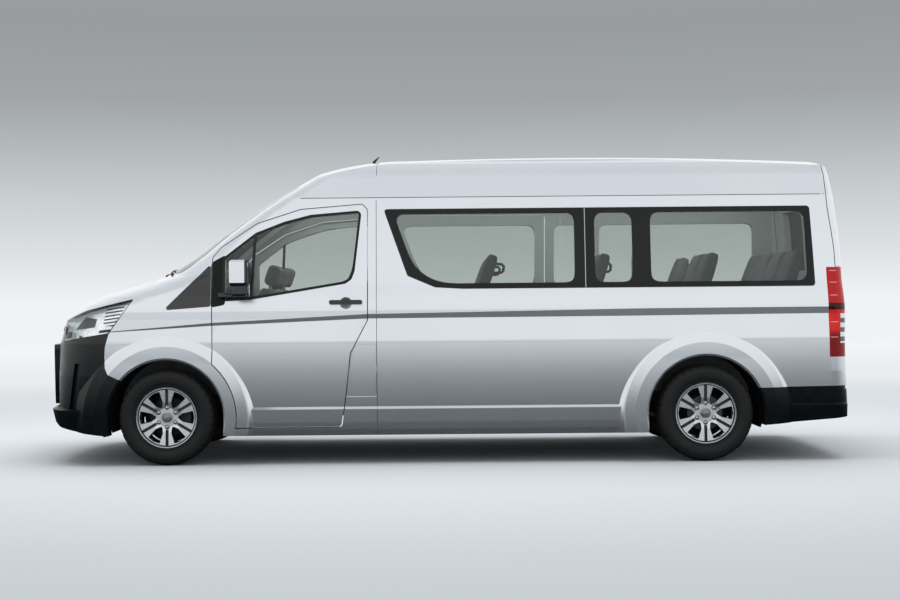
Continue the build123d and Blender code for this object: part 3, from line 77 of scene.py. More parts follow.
LEFT_VIEWS = [
    slanted(X_PANE_SPLIT - 0.076),
    upright(X_PANE_SPLIT + 0.069, X_PANE_SPLIT + 0.338),
    upright(X_PANE_SPLIT + 0.471, X_PANE_END - 0.055, 0.011),
]
RIGHT_VIEWS = [
    slanted(X_SLIDE_REAR - 0.084),
    upright(X_SLIDE_REAR + 0.080, X_SLIDE_REAR + 0.340),
    upright(X_SLIDE_REAR + 0.460, X_PANE_END - 0.055, 0.011),
]
DOOR_VIEW = [
    (X_DOOR_FRONT + x, z)
    for x, z in [
        (0.092, 1.474), (0.092, 1.190), (0.292, 1.203), (0.948, 1.309), (0.984, 1.335),
        (1.004, 1.389), (1.052, 1.802), (0.708, 1.774), (0.521, 1.726), (0.319, 1.648),
    ]
]
PANES = [
    (X_PILLAR + 0.052, Z_PANE[1]), (X_PILLAR + 0.222, 1.345), (X_PILLAR + 0.420, 1.260),
    (X_PILLAR + 0.620, Z_PANE[0]), (X_PANE_END, Z_PANE[0]), (X_PANE_END - 0.022, Z_PANE[1]),
]
SAIL = [(-1.660, 1.452), (-1.660, 1.128), (-1.555, 1.148), (-1.555, 1.508)]  # cover in a door's front corner
LAMP_VIEWS = [
    [
        (X_NOSE + x, z)
        for x, z in [(0.186, 1.034), (0.135, 0.886), (0.564, 0.953), (0.737, 1.188), (0.387, 1.108)]
    ],
    [(X_NOSE + x, z) for x, z in [(-0.2, 1.036), (-0.2, 0.884), (0.14, 0.887), (0.19, 1.036)]],
]
SCREEN_VIEW = [(-0.648, 1.965), (-0.738, 1.425), (0.738, 1.425), (0.648, 1.965)]
TAIL_VIEW = [(-0.605, 1.858), (-0.655, 1.382), (0.655, 1.382), (0.605, 1.858)]


# ---- node trees ----
CORNER_EASE = 1.76  # reach of the smooth minimum that rounds a corner to a radius of 1
MASK_EASE = 0.0006


class Nodes:
    """A node tree being filled: nodes are added by kind, with their settings and inputs by name."""

    def __init__(self, tree):
        self.tree = tree
        tree.nodes.clear()

    def add(self, kind, inputs=None, **settings):
        node = self.tree.nodes.new("ShaderNode" + kind)
        for key, value in settings.items():
            setattr(node, key, value)
        for key, value in (inputs or {}).items():
            self.put(node.inputs[key], value)
        return node

    def put(self, socket, value):
        if isinstance(value, bpy.types.NodeSocket):
            self.tree.links.new(value, socket)
        elif isinstance(value, bpy.types.Node):
            self.tree.links.new(value.outputs[0], socket)
        else:
            socket.default_value = value

    def math(self, operation, a, b=0.0):
        return self.add("Math", {0: a, 1: b}, operation=operation).outputs[0]

    def times_plus(self, value, factor, more=0.0):
        return self.add("Math", {0: value, 1: factor, 2: more}, operation="MULTIPLY_ADD").outputs[0]

    def mixed(self, factor, a, b):
        return self.add("MixShader", {0: factor, 1: a, 2: b})

    def ramp(self, value, stops):
        node = self.add("ValToRGB", {0: value})
        elements = node.color_ramp.elements
        while len(elements) < len(stops):
            elements.new(0.5)
        for element, (at, colour) in zip(elements, stops):
            element.position = at
            element.color = shade(colour)
        return node.outputs[0]


class Finish(Nodes):
    """A material being made."""

    def __init__(self, name):
        self.material = bpy.data.materials.new(name)
        self.material.use_nodes = True
        super().__init__(self.material.node_tree)

    @cached_property
    def place(self):
        return self.add("TexCoord").outputs["Object"]

    @cached_property
    def axes(self):
        return self.add("SeparateXYZ", {0: self.place}).outputs

    @cached_property
    def normal(self):
        """The face's own direction, in the object's frame, which turns with its body."""
        world = self.add("NewGeometry").outputs["True Normal"]
        return self.add("SeparateXYZ", {0: self.turn(world, "WORLD", "OBJECT")}).outputs

    def turn(self, vector, source, target):
        settings = {"vector_type": "NORMAL", "convert_from": source, "convert_to": target}
        return self.add("VectorTransform", {0: vector}, **settings).outputs[0]

    def inside(self, points, corner, across=0):
        """1 inside a convex outline in X and Z, or Y and Z (across=1); it goes down, right, up and left."""
        axes = self.axes
        least = None
        for (a0, z0), (a1, z1) in zip(points, points[1:] + points[:1]):
            length = math.hypot(a1 - a0, z1 - z0)
            na, nz = (z0 - z1) / length, (a1 - a0) / length
            part = self.times_plus(axes[2], nz, -a0 * na - z0 * nz)
            part = self.times_plus(axes[across], na, part)
            if least is None:
                least = part
            else:
                reach = CORNER_EASE * corner
                least = self.add("Math", {0: least, 1: part, 2: reach}, operation="SMOOTH_MIN").outputs[0]
        return self.span(least, -MASK_EASE, MASK_EASE)

    def any_of(self, masks):
        return reduce(lambda a, b: self.math("MAXIMUM", a, b), masks)

    def both(self, *masks):
        return reduce(lambda a, b: self.math("MULTIPLY", a, b), masks)

    def above(self, value, edge, soft=0.0005):
        return self.span(value, edge - soft, edge + soft)

    def below(self, value, edge, soft=0.0005):
        return self.span(value, edge - soft, edge + soft, 1.0, 0.0)

    def between(self, value, low, high, soft=0.0005):
        return self.math("MULTIPLY", self.above(value, low, soft), self.below(value, high, soft))

    def outward(self):
        """How far a surface faces away from the centre plane: 1 on an outer wall, -1 on an inner one."""
        side = self.math("SIGN", self.axes[1])
        return self.math("MULTIPLY", side, self.normal[1])

    def noise(self, scale, detail=2.0):
        return self.add("TexNoise", {"Vector": self.place, "Scale": scale, "Detail": detail}).outputs[0]

    def cells(self, scale):
        return self.add("TexVoronoi", {"Vector": self.place, "Scale": float(scale)}).outputs[0]

    def span(self, value, low, high, to_low=0.0, to_high=1.0):
        return self.add("MapRange", {0: value, 1: low, 2: high, 3: to_low, 4: to_high}).outputs[0]

    def grade(self, noise, low, high):
        """A number that goes from low to high over the middle of a noise's reach."""
        return self.span(noise, 0.3, 0.7, low, high)

    def stripes(self, value, pitch, shift=0.0):
        """A number that rises from 0 to 1 again and again, pitch times in a metre."""
        return self.math("FRACT", self.times_plus(value, pitch, shift))

    def blend(self, factor, a, b, mode="MIX"):
        node = self.add("Mix", {0: factor}, data_type="RGBA", blend_type=mode)
        self.put(node.inputs[6], a if isinstance(a, bpy.types.NodeSocket) else shade(a))
        self.put(node.inputs[7], b if isinstance(b, bpy.types.NodeSocket) else shade(b))
        return node.outputs[2]

    def tones(self, noise, a, b):
        return self.blend(self.span(noise, 0.3, 0.7), a, b)

    def vector(self, x=0.0, y=0.0, z=0.0):
        return self.add("CombineXYZ", {0: x, 1: y, 2: z})

    def unit(self, vector):
        return self.add("VectorMath", {0: vector}, operation="NORMALIZE")

    def between_vectors(self, factor, a, b):
        return self.add("Mix", {0: factor, 4: a, 5: b}, data_type="VECTOR").outputs[1]

    def hub_distances(self):
        """How far a point is from the front and from the rear wheels' axis, in X and Z."""
        x, _, z = self.axes
        flat = self.vector(x=x, z=z)
        hubs = [self.vector(x=at, z=HUB_Z) for at in (X_FRONT_AXLE, X_REAR_AXLE)]
        nodes = [self.add("VectorMath", {0: flat, 1: hub}, operation="DISTANCE") for hub in hubs]
        return [node.outputs["Value"] for node in nodes]

    def bump(self, height, strength, distance, normal=None):
        inputs = {"Height": height, "Strength": strength, "Distance": distance}
        if normal is not None:
            inputs["Normal"] = normal
        return self.add("Bump", inputs).outputs[0]

    def surface(self, colour, rough, **inputs):
        """A Principled shader; underscores in names stand for spaces."""
        node = self.add("BsdfPrincipled", {"Base Color": colour, "Roughness": rough})
        for key, value in inputs.items():
            self.put(node.inputs[key.replace("_", " ")], value)
        return node

    def clouded(self, cloud, dark, light, scuff, low, high, **inputs):
        """A surface whose colour follows one noise and whose roughness another, both (scale, detail)."""
        colour = self.blend(self.noise(*cloud), dark, light)
        return self.surface(colour, self.grade(self.noise(*scuff), low, high), **inputs)

    def only(self, colour, rough, **inputs):
        """A material that is one Principled shader all over."""
        return self.done(self.surface(colour, rough, **inputs))

    def done(self, shader):
        self.put(self.add("OutputMaterial").inputs["Surface"], shader)
        return self.material


def shade(colour):
    """Linear RGBA from a hex colour; one that is linear already stays."""
    if not isinstance(colour, str):
        return colour
    parts = [int(colour[i : i + 2], 16) / 255 for i in (1, 3, 5)]
    return tuple(c / 12.92 if c <= 0.04045 else ((c + 0.055) / 1.055) ** 2.4 for c in parts) + (1.0,)


# ---- finishes ----
# The walls' upward slope as height goes on: (height, rise of the normal), for soft shading between the bends.
SLOPES = [
    (0.412, -0.112), (0.526, -0.092), (0.640, -0.073), (0.756, -0.052), (0.868, -0.034), (1.105, 0.020),
    (1.128, 0.088), (1.185, 0.160), (1.250, 0.200), (1.300, 0.150), (1.380, 0.105), (1.580, 0.132),
    (1.740, 0.146), (1.912, 0.170),
]
Z_SOFT = (0.4, 1.92)
FLARE_EASE = 0.6  # how far the arch flares shade like the wall round them
ARCH_R, FLARE_R = 0.4138, 0.588  # from the wheel's axis to the arch's edge and to the end of its flare
SILVER = ("#E3E8ED", "#E9EDF1")


def soft_walls(f):
    """Normal that smooths the bends between the side walls' flat bands, and where it is to be used."""
    z = f.axes[2]
    nx, ny, nz = f.normal
    low, high = Z_SOFT
    stops = [((at - low) / (high - low), (0.5 + rise, 0.5 + rise, 0.5 + rise, 1.0)) for at, rise in SLOPES]
    slope = f.math("SUBTRACT", f.ramp(f.span(z, low, high), stops), 0.5)
    near = f.below(f.math("ABSOLUTE", f.math("SUBTRACT", slope, nz)), 0.055, 0.004)
    zone = f.any_of([f.between(z, 0.414, 0.867, 0.001), f.between(z, 1.106, 1.905, 0.001)])
    sideways = f.below(f.math("ABSOLUTE", nx), 0.03, 0.002)
    wall = f.both(near, zone, sideways, f.above(f.outward(), 0.9, 0.01))
    normal = f.between_vectors(wall, f.vector(nx, ny, nz), f.unit(f.vector(nx, ny, slope)))
    flare = f.any_of([f.between(r, ARCH_R + 0.0001, FLARE_R, 0.012) for r in f.hub_distances()])
    flare = f.both(flare, f.above(f.outward(), 0.8, 0.01), f.below(z, 0.95))
    plain = f.vector(y=f.math("SIGN", ny), z=slope)
    normal = f.unit(f.between_vectors(f.math("MULTIPLY", flare, FLARE_EASE), normal, plain))
    return f.turn(normal, "OBJECT", "WORLD"), f.any_of([wall, flare])


def silver_paint():
    """Clear-coated metallic silver; trim grey on inner faces, black behind panes and in the arches."""
    f = Finish("silver_paint")
    x, y, z = f.axes
    flake = f.noise(2600, 1)
    colour = f.tones(f.noise(0.8, 3), *SILVER)
    colour = f.blend(f.span(flake, 0.62, 0.75, 0, 0.35), colour, "#F4F6F8")
    # Darker towards the bottom, below Z 0.3, mottled by noise.
    low_darkening = f.math("MULTIPLY", f.span(z, 0.2, 0.3, 0.2, 0.0), f.noise(30, 4))
    colour = f.blend(low_darkening, colour, "#5C5D5C")
    soft, use = soft_walls(f)
    wall = f.between_vectors(use, f.add("NewGeometry").outputs["Normal"], soft)
    orange_peel = f.bump(f.noise(240, 1), 0.015, 0.0002, wall)
    paint = f.surface(
        colour,
        f.grade(flake, 0.22, 0.27),
        Metallic=0.85,
        Normal=f.bump(flake, 0.02, 0.0002, orange_peel),
        Coat_Weight=0.6,
        Coat_Roughness=0.05,
        Coat_IOR=1.45,
        Coat_Normal=orange_peel,
    )
    trim = f.surface(
        f.blend(f.span(z, 1.2, 1.3), "#7D8384", "#A9AFAF"),
        f.grade(f.noise(20, 3), 0.6, 0.75),
        Normal=f.bump(f.cells(700), 0.3, 0.0003),
    )
    black = f.clouded((8, 3), "#0A0E0E", "#111616", (60, 4), 0.3, 0.45, Specular_IOR_Level=0.2)
    forward, _, upward = f.normal
    inner = f.any_of(
        [
            f.both(f.below(f.outward(), -0.25, 0.02), f.below(f.math("ABSOLUTE", y), 0.93)),
            f.both(f.below(upward, -0.3, 0.02), f.above(z, 1.5)),
            f.both(f.below(forward, -0.3, 0.02), f.above(x, 2.6)),
            f.both(f.above(forward, 0.3, 0.02), f.below(x, -1.2), f.above(z, 1.0)),
        ]
    )
    arch = f.any_of([f.below(r, ARCH_R, 0.0004) for r in f.hub_distances()])
    facing_out = f.above(f.outward(), 0.3, 0.02)
    sail = f.both(f.inside(SAIL, 0.02), facing_out)
    behind = f.both(f.inside(PANES, 0.025), facing_out)
    return f.done(f.mixed(f.any_of([behind, arch, sail]), f.mixed(inner, paint, trim), black))


def grained_plastic(name, dark, light, roughness, grain, depth=0.35, sheen=None):
    """Moulded plastic or rubber; sheen is the gloss at Z 0.35 and 0.95 where it changes with height."""
    f = Finish(name)
    scuff = f.noise(14, 5)
    return f.only(
        f.blend(f.span(scuff, 0.35, 0.7), dark, light),
        f.grade(scuff, roughness - 0.05, roughness + 0.08),
        Normal=f.bump(f.cells(grain), depth, 0.0004),
        Specular_IOR_Level=f.span(f.axes[2], 0.35, 0.95, *sheen) if sheen else 0.5,
    )


def gloss_black():
    f = Finish("gloss_black")
    coat = {"Coat_Weight": 0.6, "Coat_Roughness": 0.03}
    return f.done(f.clouded((3, 3), "#0A0B0C", "#121415", (60, 4), 0.10, 0.16, **coat))


def bare_metal(name, dark, light, roughness, scale=60.0, metallic=1.0):
    f = Finish(name)
    cloud = f.noise(scale, 5)
    return f.only(
        f.tones(cloud, dark, light),
        f.grade(cloud, roughness - 0.06, roughness + 0.1),
        Metallic=metallic,
        Normal=f.bump(f.noise(scale * 30, 2), 0.08, 0.0002),
    )


def clear_and_gloss(f, tint):
    """Thin pane: clear with a tint, and a mirror that grows towards the edge-on view."""
    wave = f.bump(f.noise(5, 1), 0.02, 0.002)
    tint = f.blend(f.grade(f.noise(2, 2), 0, 0.3), tint, "#FFFFFF", "MULTIPLY")
    clear = f.add("BsdfTransparent", {0: tint})
    gloss = f.add("BsdfGlossy", {"Color": shade("#F4FAF8"), "Roughness": 0.02, "Normal": wave})
    return f.mixed(f.add("Fresnel", {"IOR": 1.45, "Normal": wave}), clear, gloss)


def tinted_glass(name, tint, left=(), right=(), ends=(), corner=0.06, heated=False):
    """Glass with a black border outside its clear outlines: left and right in X and Z, ends in Y and Z."""
    f = Finish(name)
    pane = clear_and_gloss(f, tint)
    _, y, z = f.axes
    if ends:
        see = f.any_of([f.inside(points, corner, 1) for points in ends])
    else:
        see_left = f.any_of([f.inside(points, corner) for points in left])
        see_right = f.any_of([f.inside(points, corner) for points in right])
        see = f.add("Mix", {0: f.above(y, 0), 2: see_left, 3: see_right}, data_type="FLOAT").outputs[0]
    border = f.clouded((9, 3), "#060B0B", "#0B1010", (40, 2), 0.06, 0.1, Specular_IOR_Level=0.3)
    if heated:
        pane = f.mixed(f.below(f.stripes(z, 36.0), 0.06, 0.01), pane, border)
    return f.done(f.mixed(see, border, pane))


def alloy_wheel():
    """Turned face of the spokes; the windows, sides and recessed faces darker as painted shade; cast iron
    where the brake shows through.
    """
    f = Finish("alloy_wheel")
    y = f.math("ABSOLUTE", f.axes[1])
    grain = f.noise(90, 4)

    def metal(dark, light, metallic, low, high, **more):
        colour, rough = f.tones(grain, dark, light), f.grade(grain, low, high)
        return f.surface(colour, rough, Metallic=metallic, **more)

    turned = metal("#DADDE0", "#E8EAEC", 0.85, 0.26, 0.36, Normal=f.bump(f.noise(900, 2), 0.05, 0.0002))
    # Painted shade: a dark grey on the spokes' sides and on the faces set back from the wheel's face.
    recess_painted_shade = metal("#3A3D3F", "#4A4D4F", 0.6, 0.35, 0.5)
    iron = metal("#242424", "#3A3836", 0.7, 0.4, 0.6)
    face = f.both(f.above(f.outward(), 0.9, 0.02), f.above(y, HALF_TRACK + 0.068, 0.001))
    depth = f.above(y, 0.834, 0.001)
    return f.done(f.mixed(depth, iron, f.mixed(face, recess_painted_shade, turned)))


def mirror_and_handle():
    """Silver cap over a black base on the mirrors, mirror glass at their rear, and gloss black handles."""
    f = Finish("mirror_and_handle")
    x, y, z = f.axes
    black = f.clouded((9, 3), "#0C0D0E", "#151617", (60, 3), 0.2, 0.3, Coat_Weight=0.4)
    silver = f.clouded((2, 3), *SILVER, (2600, 1), 0.22, 0.27, Metallic=0.85, Coat_Weight=0.8)
    looking = f.surface(
        f.blend(f.noise(3), "#AEB6B8", "#B8C0C2"),
        f.span(f.noise(5), 0, 1, 0.02, 0.04),
        Metallic=1.0,
    )
    cap = f.both(f.above(z, 1.302), f.below(x, -1.389))
    framed = f.both(f.between(z, 1.305, 1.442), f.between(f.math("ABSOLUTE", y), 1.022, 1.124))
    glass = f.both(f.above(f.normal[0], 0.95, 0.01), framed)
    return f.done(f.mixed(glass, f.mixed(cap, black, silver), looking))


def lamp_bowl():
    """Vapour-plated housing of the headlamps: bright, with a painted glow on the plating, a grey box, dark
    gaps and ribs at the rear.
    """
    f = Finish("lamp_bowl")
    x, _, z = f.axes
    chrome_painted_glow = f.surface(
        f.blend(f.span(f.noise(18, 2), 0.35, 0.65), "#DDE1E3", "#F4F6F7"),
        f.grade(f.noise(30, 2), 0.12, 0.25),
        Metallic=0.9,
        Normal=f.bump(f.cells(60), 0.25, 0.004),
        # Painted glow: the plating gives off a faint light of its own, though the lamps are off.
        Emission_Color=shade("#E9EDEF"),
        Emission_Strength=0.22,
    )
    box = f.surface(
        f.blend(f.span(z, 0.97, 1.066), "#74797A", "#55595A"),
        f.grade(f.noise(30, 2), 0.3, 0.4),
        Metallic=0.3,
    )
    black = f.surface(
        f.blend(f.noise(20), "#0B0C0D", "#15181A"),
        f.span(f.noise(30), 0, 1, 0.15, 0.3),
    )
    boxed = f.inside([(-2.578, 1.066), (-2.661, 0.973), (-2.497, 0.994), (-2.480, 1.054)], 0.006)
    ribs = f.stripes(f.times_plus(x, -0.14, z), 42.0)
    ribbed = f.inside([(-2.412, 1.135), (-2.434, 1.004), (-2.355, 1.000), (-2.262, 1.165)], 0.006)
    gaps = f.any_of(
        [
            f.both(ribbed, f.below(ribs, 0.42, 0.05)),
            f.inside([(-2.462, 0.972), (-2.470, 0.952), (-2.385, 0.960), (-2.380, 0.982)], 0.004),
            f.inside([(-2.780, 0.958), (-2.800, 0.905), (-2.700, 0.915), (-2.690, 0.962)], 0.01),
            f.inside([(-2.60, 1.110), (-2.60, 1.090), (-2.22, 1.180), (-2.22, 1.210)], 0.004),
        ]
    )
    return f.done(f.mixed(gaps, f.mixed(boxed, chrome_painted_glow, box), black))


def tail_lens():
    """Red lens with fine lines, a dark band at the belt and a clear part with dark bars at the rear edge; the
    lens has a painted glow in its own colour.
    """
    f = Finish("tail_lens")
    x, _, z = f.axes
    upper = f.blend(f.span(z, 1.03, 1.10), "#D9281F", "#B81B20")
    red = f.blend(f.span(z, 0.90, 0.94), "#8A1015", upper)
    red = f.blend(f.both(f.below(f.stripes(z, 90.0), 0.25, 0.08), f.below(z, 0.905)), red, "#4A0508")
    red = f.blend(f.between(z, 1.078, 1.126, 0.002), red, "#3A0204")
    heights = (1.357, 1.273, 1.181, 0.990, 0.881)
    thin = f.any_of([f.between(z, at - 0.0025, at + 0.0025, 0.001) for at in heights])
    red = f.blend(f.both(thin, f.between(x, 2.768, 2.822, 0.004)), red, "#F0A79C")
    clear = f.blend(f.below(f.stripes(z, 15.0, 0.25), 0.5, 0.03), "#E9EEF0", "#5C6163")
    rear = f.both(f.between(z, 0.838, 1.055, 0.0015), f.above(x, 2.842, 0.0015))
    colour = f.blend(rear, red, clear)
    return f.only(
        colour,
        f.grade(f.noise(50, 2), 0.25, 0.32),
        Normal=f.bump(f.cells(220), 0.06, 0.0006),
        Coat_Weight=0.15,
        Coat_Roughness=0.03,
        Specular_IOR_Level=0.2,
        # Painted glow: the lens gives off a faint light in its own colour, though the lamp is off.
        Emission_Color=colour,
        Emission_Strength=0.12,
    )


PLASTICS = {  # dark and light tone, roughness, grain's fineness and depth, sheen low and high up
    "bumper_plastic": ("#0B1112", "#101617", 0.30, 900, 0.08, (0.03, 0.6)),
    "interior_plastic": ("#3A3B3D", "#444547", 0.6, 700),
    "liner_plastic": ("#0A0B0B", "#121313", 0.75, 500, 0.2),
    "chassis_paint": ("#1B1C1D", "#242526", 0.55, 500, 0.1),
    "tyre_rubber": ("#0C0E0F", "#141617", 0.66, 1400, 0.15),
    "seam_black": ("#4A4E52", "#565A5E", 0.5, 900, 0.1),
    "seal_rubber": ("#0C0D0D", "#151616", 0.5, 900, 0.15),
    "plate_white": ("#D8DADB", "#E2E4E5", 0.35, 300, 0.03),
    "seat_cloth": ("#4E5053", "#606266", 0.85, 500, 0.6),
    "floor_vinyl": ("#5E6062", "#6E7072", 0.6, 300, 0.2),
    "lens_amber": ("#D98A2B", "#E89A3A", 0.2, 200, 0.05),
    "lamp_glass": ("#9AA6AC", "#B9C3C8", 0.05, 40, 0.05),
}
METALS = {  # dark and light tone, roughness, scale of the clouding, metallic share
    "cast_iron": ("#3C3B3A", "#55534F", 0.55, 80, 0.6),
    "steel": ("#76787A", "#8E9092", 0.38),
    "bright_metal": ("#C4C7CA", "#D6D9DB", 0.18, 120),
    "dark_metal": ("#8A8D90", "#A4A7A9", 0.25, 120),
}
MATERIALS = {
    "silver_paint": silver_paint(),
    "gloss_black": gloss_black(),
    "side_window": tinted_glass("side_window", "#EAEDEB", LEFT_VIEWS, RIGHT_VIEWS),
    "door_window": tinted_glass("door_window", "#EAEDEB", [DOOR_VIEW], [DOOR_VIEW], corner=0.016),
    "screen": tinted_glass("screen", "#EEF1EF", ends=[SCREEN_VIEW]),
    "tail_window": tinted_glass("tail_window", "#EAEDEB", ends=[TAIL_VIEW], heated=True),
    "mirror_and_handle": mirror_and_handle(),
    "alloy": alloy_wheel(),
    "lens_clear": tinted_glass("lens_clear", "#F7F9FA", LAMP_VIEWS, LAMP_VIEWS, corner=0.006),
    "lamp_bowl": lamp_bowl(),
    "tail_lens": tail_lens(),
    **{name: grained_plastic(name, *look) for name, look in PLASTICS.items()},
    **{name: bare_metal(name, *look) for name, look in METALS.items()},
}
NODE_FINISH = {
    "silver_paint": [
        "cab_shell", "roof_panel", "side_panel_left", "side_panel_right", "wings", "hood", "sliding_door",
        "door_left", "door_right", "tailgate", "fuel_flap",
    ],
    "bumper_plastic": ["front_bumper", "grille", "rear_bumper"],
    "lens_clear": ["headlamps"],
    "screen": ["windscreen"],
    "gloss_black": ["quarter_trims"],
    "tail_lens": ["tail_lamps"],
    "side_window": ["side_glass"],
    "door_window": ["door_glass_left", "door_glass_right"],
    "mirror_and_handle": ["door_fittings_left", "door_fittings_right"],
    "tail_window": ["tailgate_glass"],
    "floor_vinyl": ["floor_pan"],
    "liner_plastic": ["arch_liners"],
    "chassis_paint": ["frame_rails", "front_suspension", "fuel_tank", "seat_legs"],
    "cast_iron": ["knuckle_left", "knuckle_right", "rear_axle", "engine_block"],
    "steel": ["leaf_springs", "radiator", "exhaust"],
    "interior_plastic": ["dashboard", "steering_wheel"],
    "seat_cloth": ["front_seats", "passenger_seats"],
    "alloy": ["wheel_" + corner for corner, _, _ in WHEELS.values()],
    "tyre_rubber": ["spare_wheel"] + ["tyre_" + corner for corner, _, _ in WHEELS.values()],
}


def dress(obj, finish):
    """Give every material slot of an object one finish."""
    material = MATERIALS[finish]
    if not obj.data.materials:
        obj.data.materials.append(material)
    for i in range(len(obj.data.materials)):
        obj.data.materials[i] = material


for finish_name, node_names in NODE_FINISH.items():
    for node_name in node_names:
        dress(NODES[node_name], finish_name)


# ---- making pieces ----
def make(name, heap, finish, body, smooth=35):
    """A mesh piece on a body; faces shade smooth up to the given angle in degrees."""
    mesh = bpy.data.meshes.new(name)
    mesh.from_pydata([tuple(v) for v in heap.verts], [], heap.faces)
    mesh.validate()
    obj = bpy.data.objects.new(name, mesh)
    bpy.context.scene.collection.objects.link(obj)
    bm = bmesh.new()
    bm.from_mesh(mesh)
    bmesh.ops.recalc_face_normals(bm, faces=bm.faces)
    for face in bm.faces:
        face.smooth = True
    for edge in bm.edges:
        edge.smooth = len(edge.link_faces) == 2 and edge.calc_face_angle(0) < math.radians(smooth)
    bm.to_mesh(mesh)
    bm.free()
    dress(obj, finish)
    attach(obj, body)
    return obj


class Heap:
    """Vertices and faces gathered from several shapes."""

    def __init__(self):
        self.verts, self.faces = [], []

    def take(self, verts, faces):
        start = len(self.verts)
        self.verts += [Vector(v) for v in verts]
        self.faces += [tuple(i + start for i in face) for face in faces]
        return self

    def turned(self, matrix):
        self.verts = [matrix @ v for v in self.verts]
        return self

    def merge(self, other):
        return self.take(other.verts, other.faces)


def quads(around, rows, closed=False):
    """Faces between rings of points; closed joins the last ring to the first, and else both are capped."""
    total = around * rows
    faces = []
    for k in range(rows if closed else rows - 1):
        for j in range(around):
            a, b = k * around + j, k * around + (j + 1) % around
            faces.append((a, b, (b + around) % total, (a + around) % total))
    caps = [tuple(range(around - 1, -1, -1)), tuple(range(total - around, total))]
    return faces if closed else faces + caps


def lathe(profile, count, depth=None):
    """Closed ring of (radius, along Y) points turned about Y; depth(i, radius, y) sinks a point."""
    verts = []
    for i in range(count):
        angle = 2 * math.pi * i / count
        for radius, y in profile:
            r = radius - (depth(i, radius, y) if depth else 0.0)
            verts.append((r * math.sin(angle), y, r * math.cos(angle)))
    return Heap().take(verts, quads(len(profile), count, closed=True))


def from_bmesh(bm, at=(0, 0, 0)):
    verts = [v.co + Vector(at) for v in bm.verts]
    heap = Heap().take(verts, [[v.index for v in face.verts] for face in bm.faces])
    bm.free()
    return heap


def rounded_box(size, radius, at):
    bm = bmesh.new()
    bmesh.ops.create_cube(bm, size=1.0, matrix=Matrix.Diagonal((*size, 1)))
    bmesh.ops.bevel(bm, geom=list(bm.edges), offset=radius, segments=2, affect="EDGES", profile=0.5)
    return from_bmesh(bm, at)


def tube(points, radius, count=10):
    """Round bar along points; radius is one number or one for each point."""
    points = [Vector(p) for p in points]
    radii = radius if isinstance(radius, (list, tuple)) else [radius] * len(points)
    verts = []
    side = None
    for k, at in enumerate(points):
        way = (points[min(k + 1, len(points) - 1)] - points[max(k - 1, 0)]).normalized()
        if side is None:
            side = way.orthogonal().normalized()
        side = (side - way * side.dot(way)).normalized()
        other = way.cross(side)
        for j in range(count):
            a = 2 * math.pi * j / count
            verts.append(at + radii[k] * (math.cos(a) * side + math.sin(a) * other))
    return Heap().take(verts, quads(count, len(points)))


def tree_of(*names):
    verts, faces = [], []
    for name in names:
        mesh = NODES[name].data
        start = len(verts)
        verts += [v.co.copy() for v in mesh.vertices]
        faces += [[i + start for i in polygon.vertices] for polygon in mesh.polygons]
    return BVHTree.FromPolygons(verts, faces)


OUTSIDE = tree_of(
    "cab_shell", "roof_panel", "side_panel_left", "side_panel_right", "wings", "hood", "front_bumper",
    "grille", "headlamps", "windscreen", "quarter_trims", "rear_bumper", "tail_lamps", "side_glass",
    "sliding_door", "door_left", "door_right", "door_glass_left", "door_glass_right", "tailgate",
    "tailgate_glass",
)


def on_side(x, z, side, tree=OUTSIDE):
    """The outermost place and its normal at one X and Z, or (None, None) where nothing is hit."""
    return tree.ray_cast(Vector((x, side * SIDE_REACH, z)), Vector((0, -side, 0)))[:2]


def on_end(y, z, way, tree=OUTSIDE):
    """The foremost (way -1) or rearmost (way 1) place and its normal at one Y and Z."""
    return tree.ray_cast(Vector((way * END_REACH, y, z)), Vector((-way, 0, 0)))[:2]


def on_top(x, y):
    """The highest place and its normal at one X and Y."""
    return OUTSIDE.ray_cast(Vector((x, y, TOP_REACH)), Vector((0, 0, -1)))[:2]


def ribbon(spots, width, rise, sink=0.003):
    """Flat moulding along (place, normal) pairs; it stands proud by rise and reaches sink into the skin."""
    verts = []
    for k, (at, normal) in enumerate(spots):
        ahead, behind = spots[min(k + 1, len(spots) - 1)][0], spots[max(k - 1, 0)][0]
        across = (ahead - behind).normalized().cross(normal).normalized() * (width / 2)
        steps = [(-1, -sink), (-1, rise * 0.5), (-0.6, rise), (0.6, rise), (1, rise * 0.5), (1, -sink)]
        verts += [at + across * out + normal * up for out, up in steps]
    return Heap().take(verts, quads(6, len(spots)))


def spread(a, b, count):
    """Evenly spaced numbers from a to b."""
    return [a + (b - a) * i / (count - 1) for i in range(count)]


def line(a, b, count):
    """Evenly spaced points from a to b."""
    return list(zip(*(spread(p, q, count) for p, q in zip(a, b))))


def at_hub(x_hub, side, inset=0.0):
    """Takes a shape made about Y, outer end towards +Y, to a wheel's place."""
    return Matrix.Translation((x_hub, side * (HALF_TRACK - inset), HUB_Z)) @ Matrix.Scale(side, 4, (0, 1, 0))


# ---- tyres and wheels ----
TYRE_R, CROWN_HALF, CROWN_DROP = 0.344, 0.079, 0.003
TREAD_STEPS, BLOCK = 288, 8  # steps round the tread, and steps from one block to the next
GROOVES = [(-0.062, -0.051), (-0.024, -0.013), (0.013, 0.024), (0.051, 0.062)]
GROOVE_DEPTH = 0.0075
FLANK = [  # (radius, half width) from the bead to the shoulder
    (0.2065, 0.081), (0.2165, 0.0815), (0.2205, 0.088), (0.226, 0.0945), (0.232, 0.0975), (0.236, 0.0965),
    (0.2385, 0.1000), (0.252, 0.1078), (0.268, 0.1116), (0.284, 0.1124), (0.2855, 0.1112), (0.2895, 0.1112),
    (0.291, 0.1118), (0.304, 0.1094), (0.314, 0.1062), (0.3155, 0.1042), (0.318, 0.1040), (0.322, 0.1018),
    (0.331, 0.0960), (0.3375, 0.0885), (0.3402, 0.0790),
]
CAVITY = [(0.212, 0.06), (0.214, 0.0), (0.212, -0.06)]
WHEEL_FACE = 0.095  # out from the middle of the tyre
NUT_COUNT, NUT_CIRCLE = 6, 0.06985


